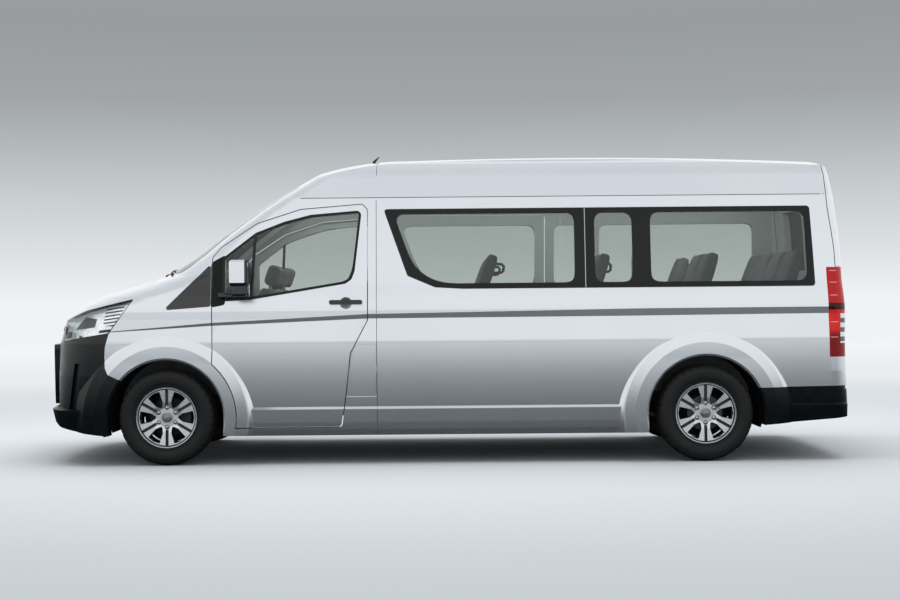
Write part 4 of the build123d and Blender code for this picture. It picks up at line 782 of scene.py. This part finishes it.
def sipe(i, radius, y):
    """How deep the tread is cut at one step, radius and width: shoulder blocks, side ribs, middle rib."""
    if 0.0755 < abs(y) < 0.103 and radius > 0.319:
        return 0.0055 if (i + (0 if y > 0 else 4)) % BLOCK < 2 else 0.0
    if 0.024 <= abs(y) <= 0.051 and radius > 0.34:
        return 0.004 if (i + (3 if y > 0 else 7)) % BLOCK == 0 else 0.0
    if abs(y) < 0.0131 and radius > 0.343:
        return 0.003 if i % BLOCK == 5 else 0.0
    return 0.0


def make_tyre(body, name, x_hub, side):
    """Ribbed tread with sipes and shoulder blocks, and sidewalls with a fitting line and a rim guard."""
    profile = [(r, -y) for r, y in FLANK]
    for low, high in GROOVES:
        rise = [TYRE_R - CROWN_DROP * (abs(edge) / CROWN_HALF) ** 2 for edge in (low, high)]
        floor = [(rise[0] - GROOVE_DEPTH, low + 0.002), (rise[1] - GROOVE_DEPTH, high - 0.002)]
        profile += [(rise[0], low)] + floor + [(rise[1], high)]
    profile += FLANK[::-1] + CAVITY
    heap = lathe(profile, TREAD_STEPS, sipe).turned(at_hub(x_hub, side))
    tyre = make("tread_tyre_" + name, heap, "tyre_rubber", body, 32)
    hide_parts("tyre_" + name)


def make_wheel_trim(body, name, x_hub, side):
    """Lug nuts, a plain centre cap, the rim's bright lip and the valve."""
    dark, bright = Heap(), Heap()

    def add(heap, profile, count, x=0.0, y=WHEEL_FACE - 0.001, z=0.0):
        heap.merge(lathe(profile, count).turned(Matrix.Translation((x, y, z))))

    for i in range(NUT_COUNT):
        angle = 2 * math.pi * i / NUT_COUNT
        spot = (NUT_CIRCLE * math.sin(angle), WHEEL_FACE - 0.0362, NUT_CIRCLE * math.cos(angle))
        add(bright, [(0.0, 0.0), (0.0106, 0.0), (0.0106, 0.017), (0.0085, 0.0215), (0.0, 0.0235)], 6, *spot)
        add(bright, [(0.0, -0.001), (0.0152, -0.001), (0.0138, 0.0035), (0.0, 0.0035)], 24, *spot)
    cap = [(0.0, 0.0), (0.031, 0.0), (0.031, 0.003), (0.0285, 0.0062), (0.024, 0.0068), (0.0225, 0.0052)]
    add(dark, cap + [(0.0, 0.0064)], 48)
    ring = [(0.0315, 0.0), (0.0345, 0.0), (0.0345, 0.004), (0.033, 0.0055), (0.0315, 0.004)]
    add(bright, ring, 48, y=WHEEL_FACE - 0.0015)
    lip = [(0.2115, 0.0), (0.2172, 0.0), (0.2172, 0.0018), (0.2155, 0.0035), (0.213, 0.003), (0.2115, 0.001)]
    add(bright, lip, 128)
    stem = Vector((math.sin(math.radians(30)), 0, math.cos(math.radians(30))))
    start = stem * 0.199 + Vector((0, WHEEL_FACE - 0.03, 0))
    bends = ((0, 0), (0.022, 0.006), (0.03, 0.01))
    valve = [start + Vector((0, out, 0)) - stem * inward for out, inward in bends]
    dark.merge(tube(valve, 0.0042))
    make("wheel_nuts_" + name, bright.turned(at_hub(x_hub, side)), "bright_metal", body, 30)
    make("wheel_cap_" + name, dark.turned(at_hub(x_hub, side)), "dark_metal", body, 30)


for wheel_body, (wheel_name, wheel_x, wheel_side) in WHEELS.items():
    make_tyre(wheel_body, wheel_name, wheel_x, wheel_side)
    make_wheel_trim(wheel_body, wheel_name, wheel_x, wheel_side)


# ---- seams, mouldings and small fittings ----
LIP = [(-1.558, 1.196), (-1.36, 1.209), (-1.0, 1.267), (-0.704, 1.315), (-0.672, 1.337), (-0.652, 1.385)]
EDGE_SKIN = 0.002  # thick
PLATE, PLATE_HOLDER = (0.004, 0.52, 0.112), (0.006, 0.534, 0.126)
SPAT_AHEAD, SPAT_Y, SPAT_Z = 0.452, 0.84, 0.205  # from the axle, and the lower edge
BOWL_DEPTHS = (0.024, 0.030)  # front and back of the lamps' housing, behind the lens
PROJECTOR_RING = [(0.028, 0.0), (0.040, 0.0), (0.042, 0.016), (0.031, 0.016)]
PROJECTOR_LENS = [
    (0.0, 0.012), (0.012, 0.0105), (0.022, 0.006), (0.029, -0.001), (0.029, -0.006), (0.0, -0.006),
]


def make_seams():
    """Dark joint lines between the fixed panels: behind the cab, along the gutters and over the roof."""
    lines = Heap()
    for side in SIDES.values():
        rising = [on_side(X_PILLAR, 0.212 + 0.02 * i, side) for i in range(85)]
        lines.merge(ribbon(rising, 0.004, 0.0006))
        gutter = [on_side(x, Z_GUTTER, side) for x in spread(-1.02, 2.755, 90)]
        lines.merge(ribbon(gutter, 0.005, 0.0012))
    over = [spot for spot in (on_top(X_PILLAR, y) for y in spread(-0.80, 0.80, 60)) if spot[0] is not None]
    lines.merge(ribbon(over, 0.004, 0.0006))
    make("seam_lines", lines, "seam_black", "shell", 40)
    bright = Heap()
    for x, side, width in ((X_PANE_SPLIT, -1, 0.004), (X_SLIDE_REAR, 1, 0.003)):
        bright.merge(ribbon([on_side(x, z, side) for z in spread(1.252, 1.824, 20)], width, 0.0008))
    make("pane_joints", bright, "bright_metal", "shell", 40)


def make_door_trims(name, side):
    """The bar that divides the window, and the rubber lip along its lower edge."""
    glass = tree_of("door_glass_" + name)
    bar = Heap()
    spots = [on_side(-1.372 + 0.026 * (z - 1.20) / 0.42, z, side, glass) for z in spread(1.203, 1.652, 16)]
    bar.merge(ribbon(spots, 0.022, 0.004))
    path = [spot for a, b in zip(LIP, LIP[1:]) for spot in line(a, b, 8)[:-1]] + LIP[-1:]
    bar.merge(ribbon([on_side(x, z - 0.011, side, glass) for x, z in path], 0.012, 0.0035))
    make("window_bar_" + name, bar, "seal_rubber", "front_door_" + name, 40)


def make_edge_skins(name, side):
    """Skin of a front door's thin edges, where the belt crease is as deep as the edge is thick."""
    heap = Heap()
    for start, way in ((-0.62, 1), (-1.60, -1)):
        verts = []
        for z in [0.966 + 0.003 * i for i in range(30)]:
            spots = [start + way * 0.001 * i for i in range(110)]
            open_at = [x for x in spots if on_side(x, z, side)[0] is None]
            if len(open_at) > 8:
                x_in, x_out = open_at[0] - way * 0.002, open_at[-1] - way * DOOR_GAP
                skin = on_side(x_in, z, side)[0].y
                inner = skin - side * EDGE_SKIN
                verts += [(x_in, skin, z), (x_out, skin, z), (x_out, inner, z), (x_in, inner, z)]
        if verts:
            heap.take(verts, quads(4, len(verts) // 4))
    make("edge_skins_" + name, heap, "silver_paint", "front_door_" + name, 30)


def make_antenna():
    """Short mast at the front of the roof."""
    foot, _ = on_top(-0.519, -0.30)
    mast = [foot + Vector((x, 0, z)) for x, z in ((0, -0.01), (0.004, 0.012), (0.03, 0.038), (0.040, 0.047))]
    rod = tube(mast, [0.016, 0.011, 0.0045, 0.003], 14)
    make("antenna", rod, "seal_rubber", "shell", 50)


def make_wipers():
    """Two arms and blades parked low on the windscreen, and one on the tailgate."""

    def over(a, b, count, way, tree, lift=0.0):
        """(place, normal) pairs on a pane from a to b, lifted off it."""
        pairs = [on_end(y, z, way, tree) for y, z in line(a, b, count)]
        return [(place + normal * lift, normal) for place, normal in pairs]

    screen = tree_of("windscreen", "cab_shell", "hood")
    front = Heap()
    for pivot, tip in (((-0.24, 1.365), (0.46, 1.420)), ((-0.58, 1.372), (-0.02, 1.412))):
        elbow = ((pivot[0] + tip[0]) / 2, (pivot[1] + tip[1]) / 2 + 0.012)
        arm = [place for place, _ in over(pivot, elbow, 8, -1, screen, 0.008)]
        front.merge(tube(arm, [0.007] * 3 + [0.005] * 5, 8))
        blade = over((pivot[0] + 0.06, pivot[1] + 0.022), (tip[0], tip[1] + 0.012), 16, -1, screen, 0.002)
        front.merge(ribbon(blade, 0.010, 0.005, 0.0))
        place, normal = on_end(*pivot, -1, screen)
        front.merge(tube([place - normal * 0.005, place + normal * 0.01], [0.014, 0.010], 16))
    make("wipers", front, "seal_rubber", "shell", 40)
    glass = tree_of("tailgate", "tailgate_glass")
    pivot = (0.0, 1.318)
    rear = Heap()
    arm = [place for place, _ in over(pivot, (-0.26, 1.40), 8, 1, glass, 0.016)]
    rear.merge(tube(arm, [0.009] * 3 + [0.006] * 5, 8))
    rear.merge(ribbon(over((-0.06, 1.385), (-0.46, 1.412), 14, 1, glass), 0.011, 0.012, 0.0))
    place, normal = on_end(*pivot, 1, glass)
    rear.merge(tube([place - normal * 0.005, place + normal * 0.024], [0.022, 0.016], 20))
    make("rear_wiper", rear, "seal_rubber", "tailgate", 40)


def make_plates():
    """Blank plates with a raised rim: one ahead of the lower grille, one in the tailgate's recess."""
    recess = max(on_end(y, 0.971 + dz, 1)[0].x for y in (-0.25, 0, 0.25) for dz in (-0.05, 0.05))
    for name, way, x, z, body in (
        ("front_plate", -1, X_NOSE - 0.006, 0.541, "shell"),
        ("rear_plate", 1, recess + 0.004, 0.971, "tailgate"),
    ):
        backing = rounded_box(PLATE_HOLDER, 0.0025, (x, 0, z))
        blank = rounded_box(PLATE, 0.0015, (x + way * 0.004, 0, z))
        make(name + "_holder", backing, "seal_rubber", body, 40)
        make(name, blank, "plate_white", body, 40)


def make_flaps():
    """Rubber spats ahead of all four wheels."""
    heap = Heap()
    for side in SIDES.values():
        for x_axle, high, wide in ((X_REAR_AXLE, 0.05, 0.19), (X_FRONT_AXLE, 0.06, 0.17)):
            at = (x_axle - SPAT_AHEAD, side * SPAT_Y, SPAT_Z + high / 2)
            heap.merge(rounded_box((0.006, wide, high), 0.002, at))
    make("splash_flaps", heap, "seal_rubber", "shell", 40)


def lens_front(mesh, side):
    """The outer faces of one headlamp's lens: welded places, their normals and the faces between them."""
    index, places, normals, faces = {}, [], [], []
    for polygon in mesh.polygons:
        centre, normal = polygon.center, polygon.normal
        away = Vector((centre.x + 2.25, centre.y - side * 0.45, (centre.z - 0.9) * 1.2)).normalized()
        hit = OUTSIDE.ray_cast(centre + normal * 0.002, normal)[0]
        if centre.y * side <= 0 or normal.dot(away) <= 0.25 or hit is not None:
            continue
        faces.append([])
        for i in polygon.vertices:
            key = tuple(round(c, 4) for c in mesh.vertices[i].co)
            if key not in index:
                index[key] = len(places)
                places.append(mesh.vertices[i].co.copy())
                normals.append(Vector((0, 0, 0)))
            normals[index[key]] += normal * polygon.area
            faces[-1].append(index[key])
    return places, normals, faces


def make_headlamps():
    """What is behind the clear lenses: the plated bowl, two projectors a side and an amber bulb."""
    lamp = tree_of("headlamps")
    for name, side in SIDES.items():
        places, normals, faces = lens_front(NODES["headlamps"].data, side)
        size = len(places)
        verts = [p - n.normalized() * depth for depth in BOWL_DEPTHS for p, n in zip(places, normals)]
        edges = {(a, b): True for face in faces for a, b in zip(face, face[1:] + face[:1])}
        rim = [(b, a, a + size, b + size) for a, b in edges if (b, a) not in edges]
        bowl = Heap().take(verts, faces + [[i + size for i in reversed(f)] for f in faces] + rim)
        make("lamp_bowl_" + name, bowl, "lamp_bowl", "shell", 25)
        dark, glass = Heap(), Heap()
        for y in (0.585, 0.715):
            place, _ = on_end(side * y, 0.962, -1, lamp)
            turn = Matrix.Rotation(math.radians(-90), 4, "Z")
            turn = Matrix.Translation(place + Vector((0.012, -side * 0.002, 0))) @ turn
            dark.merge(lathe(PROJECTOR_RING, 32).turned(turn))
            glass.merge(lathe(PROJECTOR_LENS, 32).turned(turn))
        make("lamp_rings_" + name, dark, "gloss_black", "shell")
        make("lamp_lenses_" + name, glass, "lamp_glass", "shell", 40)
        place, normal = on_side(-2.622, 0.927, side, lamp)
        bulb = lathe([(0.0, -0.012), (0.008, -0.009), (0.011, 0.0), (0.008, 0.009), (0.0, 0.012)], 20)
        bulb.turned(Matrix.Translation(place - normal * 0.018))
        make("lamp_bulb_" + name, bulb, "lens_amber", "shell", 60)


# ---- seats and what shows behind the wheels ----
SEAT_LEAN = math.radians(19)
# Front seats: rear edge of the top, top, cushion's top, Y and width.
FRONT_PLACES = [(-1.195, 1.445, 0.880, side * 0.42, 0.50) for side in SIDES.values()]
BENCHES = [  # rear edge of the top, top, lowest and highest Y, seats side by side
    (-0.390, 1.500, -0.825, 0.010, 2),
    (0.420, 1.500, -0.825, 0.010, 2),
    (0.420, 1.500, 0.430, 0.825, 1),
    (1.240, 1.500, -0.825, 0.010, 2),
    (1.240, 1.500, 0.430, 0.825, 1),
    (2.030, 1.500, -0.825, 0.010, 2),
    (2.030, 1.500, 0.430, 0.825, 1),
    (2.650, 1.514, -0.820, 0.820, 4),
]
Z_CUSHION = 0.930
GRIP = [  # (X, Z) of a grab handle from the top of the seat's back
    (-0.030, -0.055), (0.030, -0.062), (0.044, -0.078), (0.040, -0.112), (0.026, -0.124), (-0.050, -0.128),
]
SEWN, DEEP = (0.006, 0.006), (0.006, 0.007)  # width and depth of channels in the padding
BRAKE_SHIELD = [
    (0.050, -0.002), (0.183, -0.002), (0.186, 0.008), (0.188, 0.008), (0.186, -0.004), (0.050, -0.004),
]
SPLASH_PLATE = (0.25, 0.003, 0.17)


def stuffed(size, radius, crown, draw, grooves, narrow=0.0, steps=11):
    """Upholstered block: round edges, a crowned face (+Z), and sides drawn in between the corners.

    Sewn grooves are given as (axis they cross, place, width, depth)."""
    half = Vector(size) / 2
    bm = bmesh.new()
    bmesh.ops.create_cube(bm, size=2.0)
    bmesh.ops.subdivide_edges(bm, edges=list(bm.edges), cuts=steps, use_grid_fill=True)
    for vert in bm.verts:
        u = vert.co.copy()
        at = Vector([u[i] * half[i] for i in range(3)])
        core = Vector([max(radius - half[i], min(half[i] - radius, at[i])) for i in range(3)])
        out = at - core
        at = core + out.normalized() * radius if out.length > 0 else at
        at.x -= draw * math.copysign(u.x**4, u.x) * (1 - u.y**2)
        at.y -= draw * math.copysign(u.y**4, u.y) * (1 - u.x**2)
        face = max(u.z, 0.0)
        at.z += crown * (1 - u.x**2) * (1 - u.y**2) * (face - max(-u.z, 0.0) * 0.3)
        for axis, place, width, depth in grooves:
            across = abs(at.y) if axis == 1 else at[axis]
            at.z -= depth * face * math.exp(-(((across - place) / width) ** 2))
        at.y *= 1 - narrow * max(0.0, min(1.0, (u.x - 0.2) / 0.6)) ** 2
        vert.co = at
    return from_bmesh(bm)


def seat_pads(x_top, z_top, z_cushion, y, width, headrest):
    """Cushion and back of one seat; the back is one tall pad, or a pad and a separate headrest."""
    x_hip = x_top - (z_top - z_cushion) * math.tan(SEAT_LEAN)
    pads = Heap()
    seams = [(1, width * 0.30, *DEEP), (0, 0.05, *SEWN)]
    low = stuffed((0.415, width - 0.012, 0.112), 0.034, 0.010, 0.008, seams)
    tilt = Matrix.Rotation(math.radians(2.4), 4, "Y")
    pads.merge(low.turned(Matrix.Translation((x_hip - 0.222, y, z_cushion - 0.062)) @ tilt))
    tall = (z_top - z_cushion) / math.cos(SEAT_LEAN)
    rest = 0.185 if headrest else 0.0
    up = Vector((math.sin(SEAT_LEAN), 0, math.cos(SEAT_LEAN)))
    turn = Matrix(((up.x, 0, -up.z), (0, 1, 0), (up.z, 0, up.x))).to_4x4()
    root = Vector((x_hip - 0.047, y, z_cushion))
    seams = [(1, width * 0.29, *DEEP), (0, -0.08, *SEWN), (0, 0.06, *SEWN)]
    if not headrest:
        seams.append((0, tall / 2 - 0.175, 0.008, 0.010))
    size = (tall - rest, width - 0.02, 0.082)
    back = stuffed(size, 0.032, 0.008, 0.006, seams, 0.10 if headrest else 0.22)
    pads.merge(back.turned(Matrix.Translation(root + up * ((tall - rest) / 2 - 0.004)) @ turn))
    if headrest:
        head = stuffed((0.165, 0.27, 0.088), 0.036, 0.010, 0.010, [(0, 0.0, 0.006, 0.004)], 0.08, 8)
        pads.merge(head.turned(Matrix.Translation(root + up * (tall - 0.088)) @ turn))
    return pads


def make_seats():
    """Cushions in place of the plain seats, the front headrests' posts, and grab handles on the benches."""
    front, posts = Heap(), Heap()
    for x_top, z_top, z_cushion, y, width in FRONT_PLACES:
        front.merge(seat_pads(x_top, z_top, z_cushion, y, width, True))
        for dy in (-0.06, 0.06):
            foot = Vector((x_top - 0.047 - 0.26 * math.tan(SEAT_LEAN), y + dy, z_top - 0.26))
            posts.merge(tube([foot, foot + 0.12 * Vector((math.tan(SEAT_LEAN), 0, 1))], 0.006))
    benches, handles = Heap(), Heap()
    for x_top, z_top, y_low, y_high, count in BENCHES:
        width = (y_high - y_low) / count
        for i in range(count):
            benches.merge(seat_pads(x_top, z_top, Z_CUSHION, y_low + (i + 0.5) * width, width, False))
        y = (y_low + y_high) / 2 + (width if count == 2 else 0.0) * 0.42
        if count < 4:
            handles.merge(tube([(x_top + dx, y, z_top + dz) for dx, dz in GRIP], 0.011, 12))
    for name, heap, plain in (
        ("front_seat_pads", front, "front_seats"),
        ("passenger_seat_pads", benches, "passenger_seats"),
    ):
        pads = make(name, heap, "seat_cloth", "shell", 60)
        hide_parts(plain)
    make("headrest_posts", posts, "bright_metal", "shell", 40)
    make("seat_grab_handles", handles, "seal_rubber", "shell", 50)


def make_shields():
    """Round shields behind the brakes, and splash plates under the rails that close the wheelhouses."""
    plates = Heap()
    for end, x_axle in (("front", X_FRONT_AXLE), ("rear", X_REAR_AXLE)):
        for name, side in SIDES.items():
            heap = lathe(BRAKE_SHIELD, 48).turned(at_hub(x_axle, side, 0.075))
            body = "knuckle_" + name if end == "front" else "shell"
            make("brake_shield_%s_%s" % (end, name), heap, "liner_plastic", body)
            for dx in (-0.385, 0.385):
                plates.merge(rounded_box(SPLASH_PLATE, 0.001, (x_axle + dx, side * 0.458, 0.323)))
    make("splash_plates", plates, "liner_plastic", "shell")


make_seats()
make_shields()
make_headlamps()
make_seams()
for door_name, door_side in SIDES.items():
    make_door_trims(door_name, door_side)
    make_edge_skins(door_name, door_side)
make_antenna()
make_wipers()
make_plates()
make_flaps()

# ---- studio ----
FOCAL_PX, PICTURE_PX, SENSOR = 1399.0, 900, 36.0
CAMERA_AT, CAMERA_TURN = (0.0505, -10.94, 1.169), (90, 0.5, 0)
AMBIENT = 0.68
SEEN_SKY = [
    (0.0, "#F0F3F5"), (0.035, "#DCE0E3"), (0.072, "#C9CED1"), (0.106, "#B4B9BC"), (0.14, "#A1A5A8"),
    (0.19, "#989C9E"), (0.6, "#B4B8BA"),
]
MIRRORED_SKY = [
    (0.0, "#EDF0F2"), (0.06, "#FFFFFF"), (0.30, "#FDFDFE"), (0.6, "#E4E7EA"), (0.85, "#CDD1D4"),
    (1.0, "#D4D7DA"),
]
SEEN_FLOOR = [  # by Y
    (-6, "#CFD4D7"), (-4.4, "#CFD4D7"), (-2.8, "#D2D6D9"), (0, "#DADEE1"), (5.4, "#E5E9EC"),
    (21.8, "#F3F4F6"), (30, "#F0F2F4"),
]
# Painted shade for mirrors: what glossy rays see of the floor, dark near the van and paler further off.
MIRRORED_FLOOR_PAINTED_SHADE = [  # by the distance beside the van
    (1.0, "#101314"), (2.2, "#3F4447"), (3.0, "#575D60"), (5.0, "#7E8487"), (7.0, "#BCC0C3"),
    (10.0, "#EFF1F3"),
]
FLOOR_HALF = 300.0


def make_camera():
    data = bpy.data.cameras.new("camera")
    data.sensor_width = SENSOR
    data.lens = FOCAL_PX / PICTURE_PX * SENSOR
    data.clip_end = 400
    camera = bpy.data.objects.new("camera", data)
    camera.location = CAMERA_AT
    camera.rotation_euler = [math.radians(angle) for angle in CAMERA_TURN]
    bpy.context.scene.collection.objects.link(camera)
    bpy.context.scene.camera = camera


def make_world():
    """One sky for what is seen straight or through glass, a paler one for mirrors, and an even light."""
    world = bpy.data.worlds.new("studio")
    bpy.context.scene.world = world
    world.use_nodes = True
    sky = Nodes(world.node_tree)
    up = sky.add("SeparateXYZ", {0: sky.add("TexCoord").outputs["Generated"]}).outputs[2]
    backdrop = sky.add("Background", {0: sky.ramp(up, SEEN_SKY)})
    studio = sky.add("Background", {0: sky.ramp(up, MIRRORED_SKY)})
    light = sky.add("Background", {0: shade("#F4F7FA"), 1: AMBIENT})
    path = sky.add("LightPath").outputs
    seen = sky.math("MAXIMUM", path["Is Camera Ray"], path["Is Transmission Ray"])
    lit = sky.mixed(path["Is Glossy Ray"], light, studio)
    sky.add("OutputWorld", {0: sky.mixed(seen, lit, backdrop)})


def make_floor():
    """Pale floor that takes the shadow and melts into the backdrop; mirrors see painted shade on it, darker
    near the van.
    """
    f = Finish("studio_floor")
    x, y, _ = f.axes
    near, far = SEEN_FLOOR[0][0], SEEN_FLOOR[-1][0]
    stops = [((at - near) / (far - near), colour) for at, colour in SEEN_FLOOR]
    tone = f.ramp(f.span(y, near, far), stops)
    reach = f.add("VectorMath", {0: f.place}, operation="LENGTH").outputs["Value"]
    lit, shine = f.add("BsdfDiffuse", {"Color": tone}), f.add("Emission", {"Color": tone, "Strength": 1.0})
    seen = f.mixed(f.span(reach, 4.5, 11), lit, shine)
    beside = f.math("MAXIMUM", f.math("ABSOLUTE", y), f.math("SUBTRACT", f.math("ABSOLUTE", x), 2.0))
    far = MIRRORED_FLOOR_PAINTED_SHADE[-1][0]
    mirrored_shade = f.ramp(f.span(beside, 0.0, far), [(at / far, colour) for at, colour in MIRRORED_FLOOR_PAINTED_SHADE])
    # Painted shade: glossy rays see the floor as a glow that is dark near the van.
    painted_shade_in_mirrors = f.add("Emission", {"Color": mirrored_shade, "Strength": 1.0})
    f.done(f.mixed(f.add("LightPath").outputs["Is Glossy Ray"], seen, painted_shade_in_mirrors))
    mesh = bpy.data.meshes.new("studio_floor")
    corners = [(FLOOR_HALF * a, FLOOR_HALF * b, 0) for a, b in ((-1, -1), (1, -1), (1, 1), (-1, 1))]
    mesh.from_pydata(corners, [], [(0, 1, 2, 3)])
    mesh.materials.append(f.material)
    floor = bpy.data.objects.new("studio_floor", mesh)
    bpy.context.scene.collection.objects.link(floor)


def softbox(name, at, size, power):
    """Area lamp that shines straight down and is seen in no mirror."""
    data = bpy.data.lights.new(name, "AREA")
    data.shape = "RECTANGLE"
    data.size, data.size_y = size
    data.energy = power
    lamp = bpy.data.objects.new(name, data)
    lamp.location = at
    lamp.rotation_euler = Vector((0, 0, -1)).to_track_quat("-Z", "Y").to_euler()
    lamp.visible_glossy = False
    lamp.visible_camera = False
    lamp.visible_transmission = False
    bpy.context.scene.collection.objects.link(lamp)


bpy.context.scene.view_settings.view_transform = "Standard"
make_camera()
make_world()
make_floor()
softbox("ceiling", (0, 0, 6.5), (11, 6), 440)
softbox("cabin", (0.9, 0, 2.12), (3.4, 1.0), 26)
softbox("cab", (-0.95, 0, 1.95), (0.5, 1.0), 7)
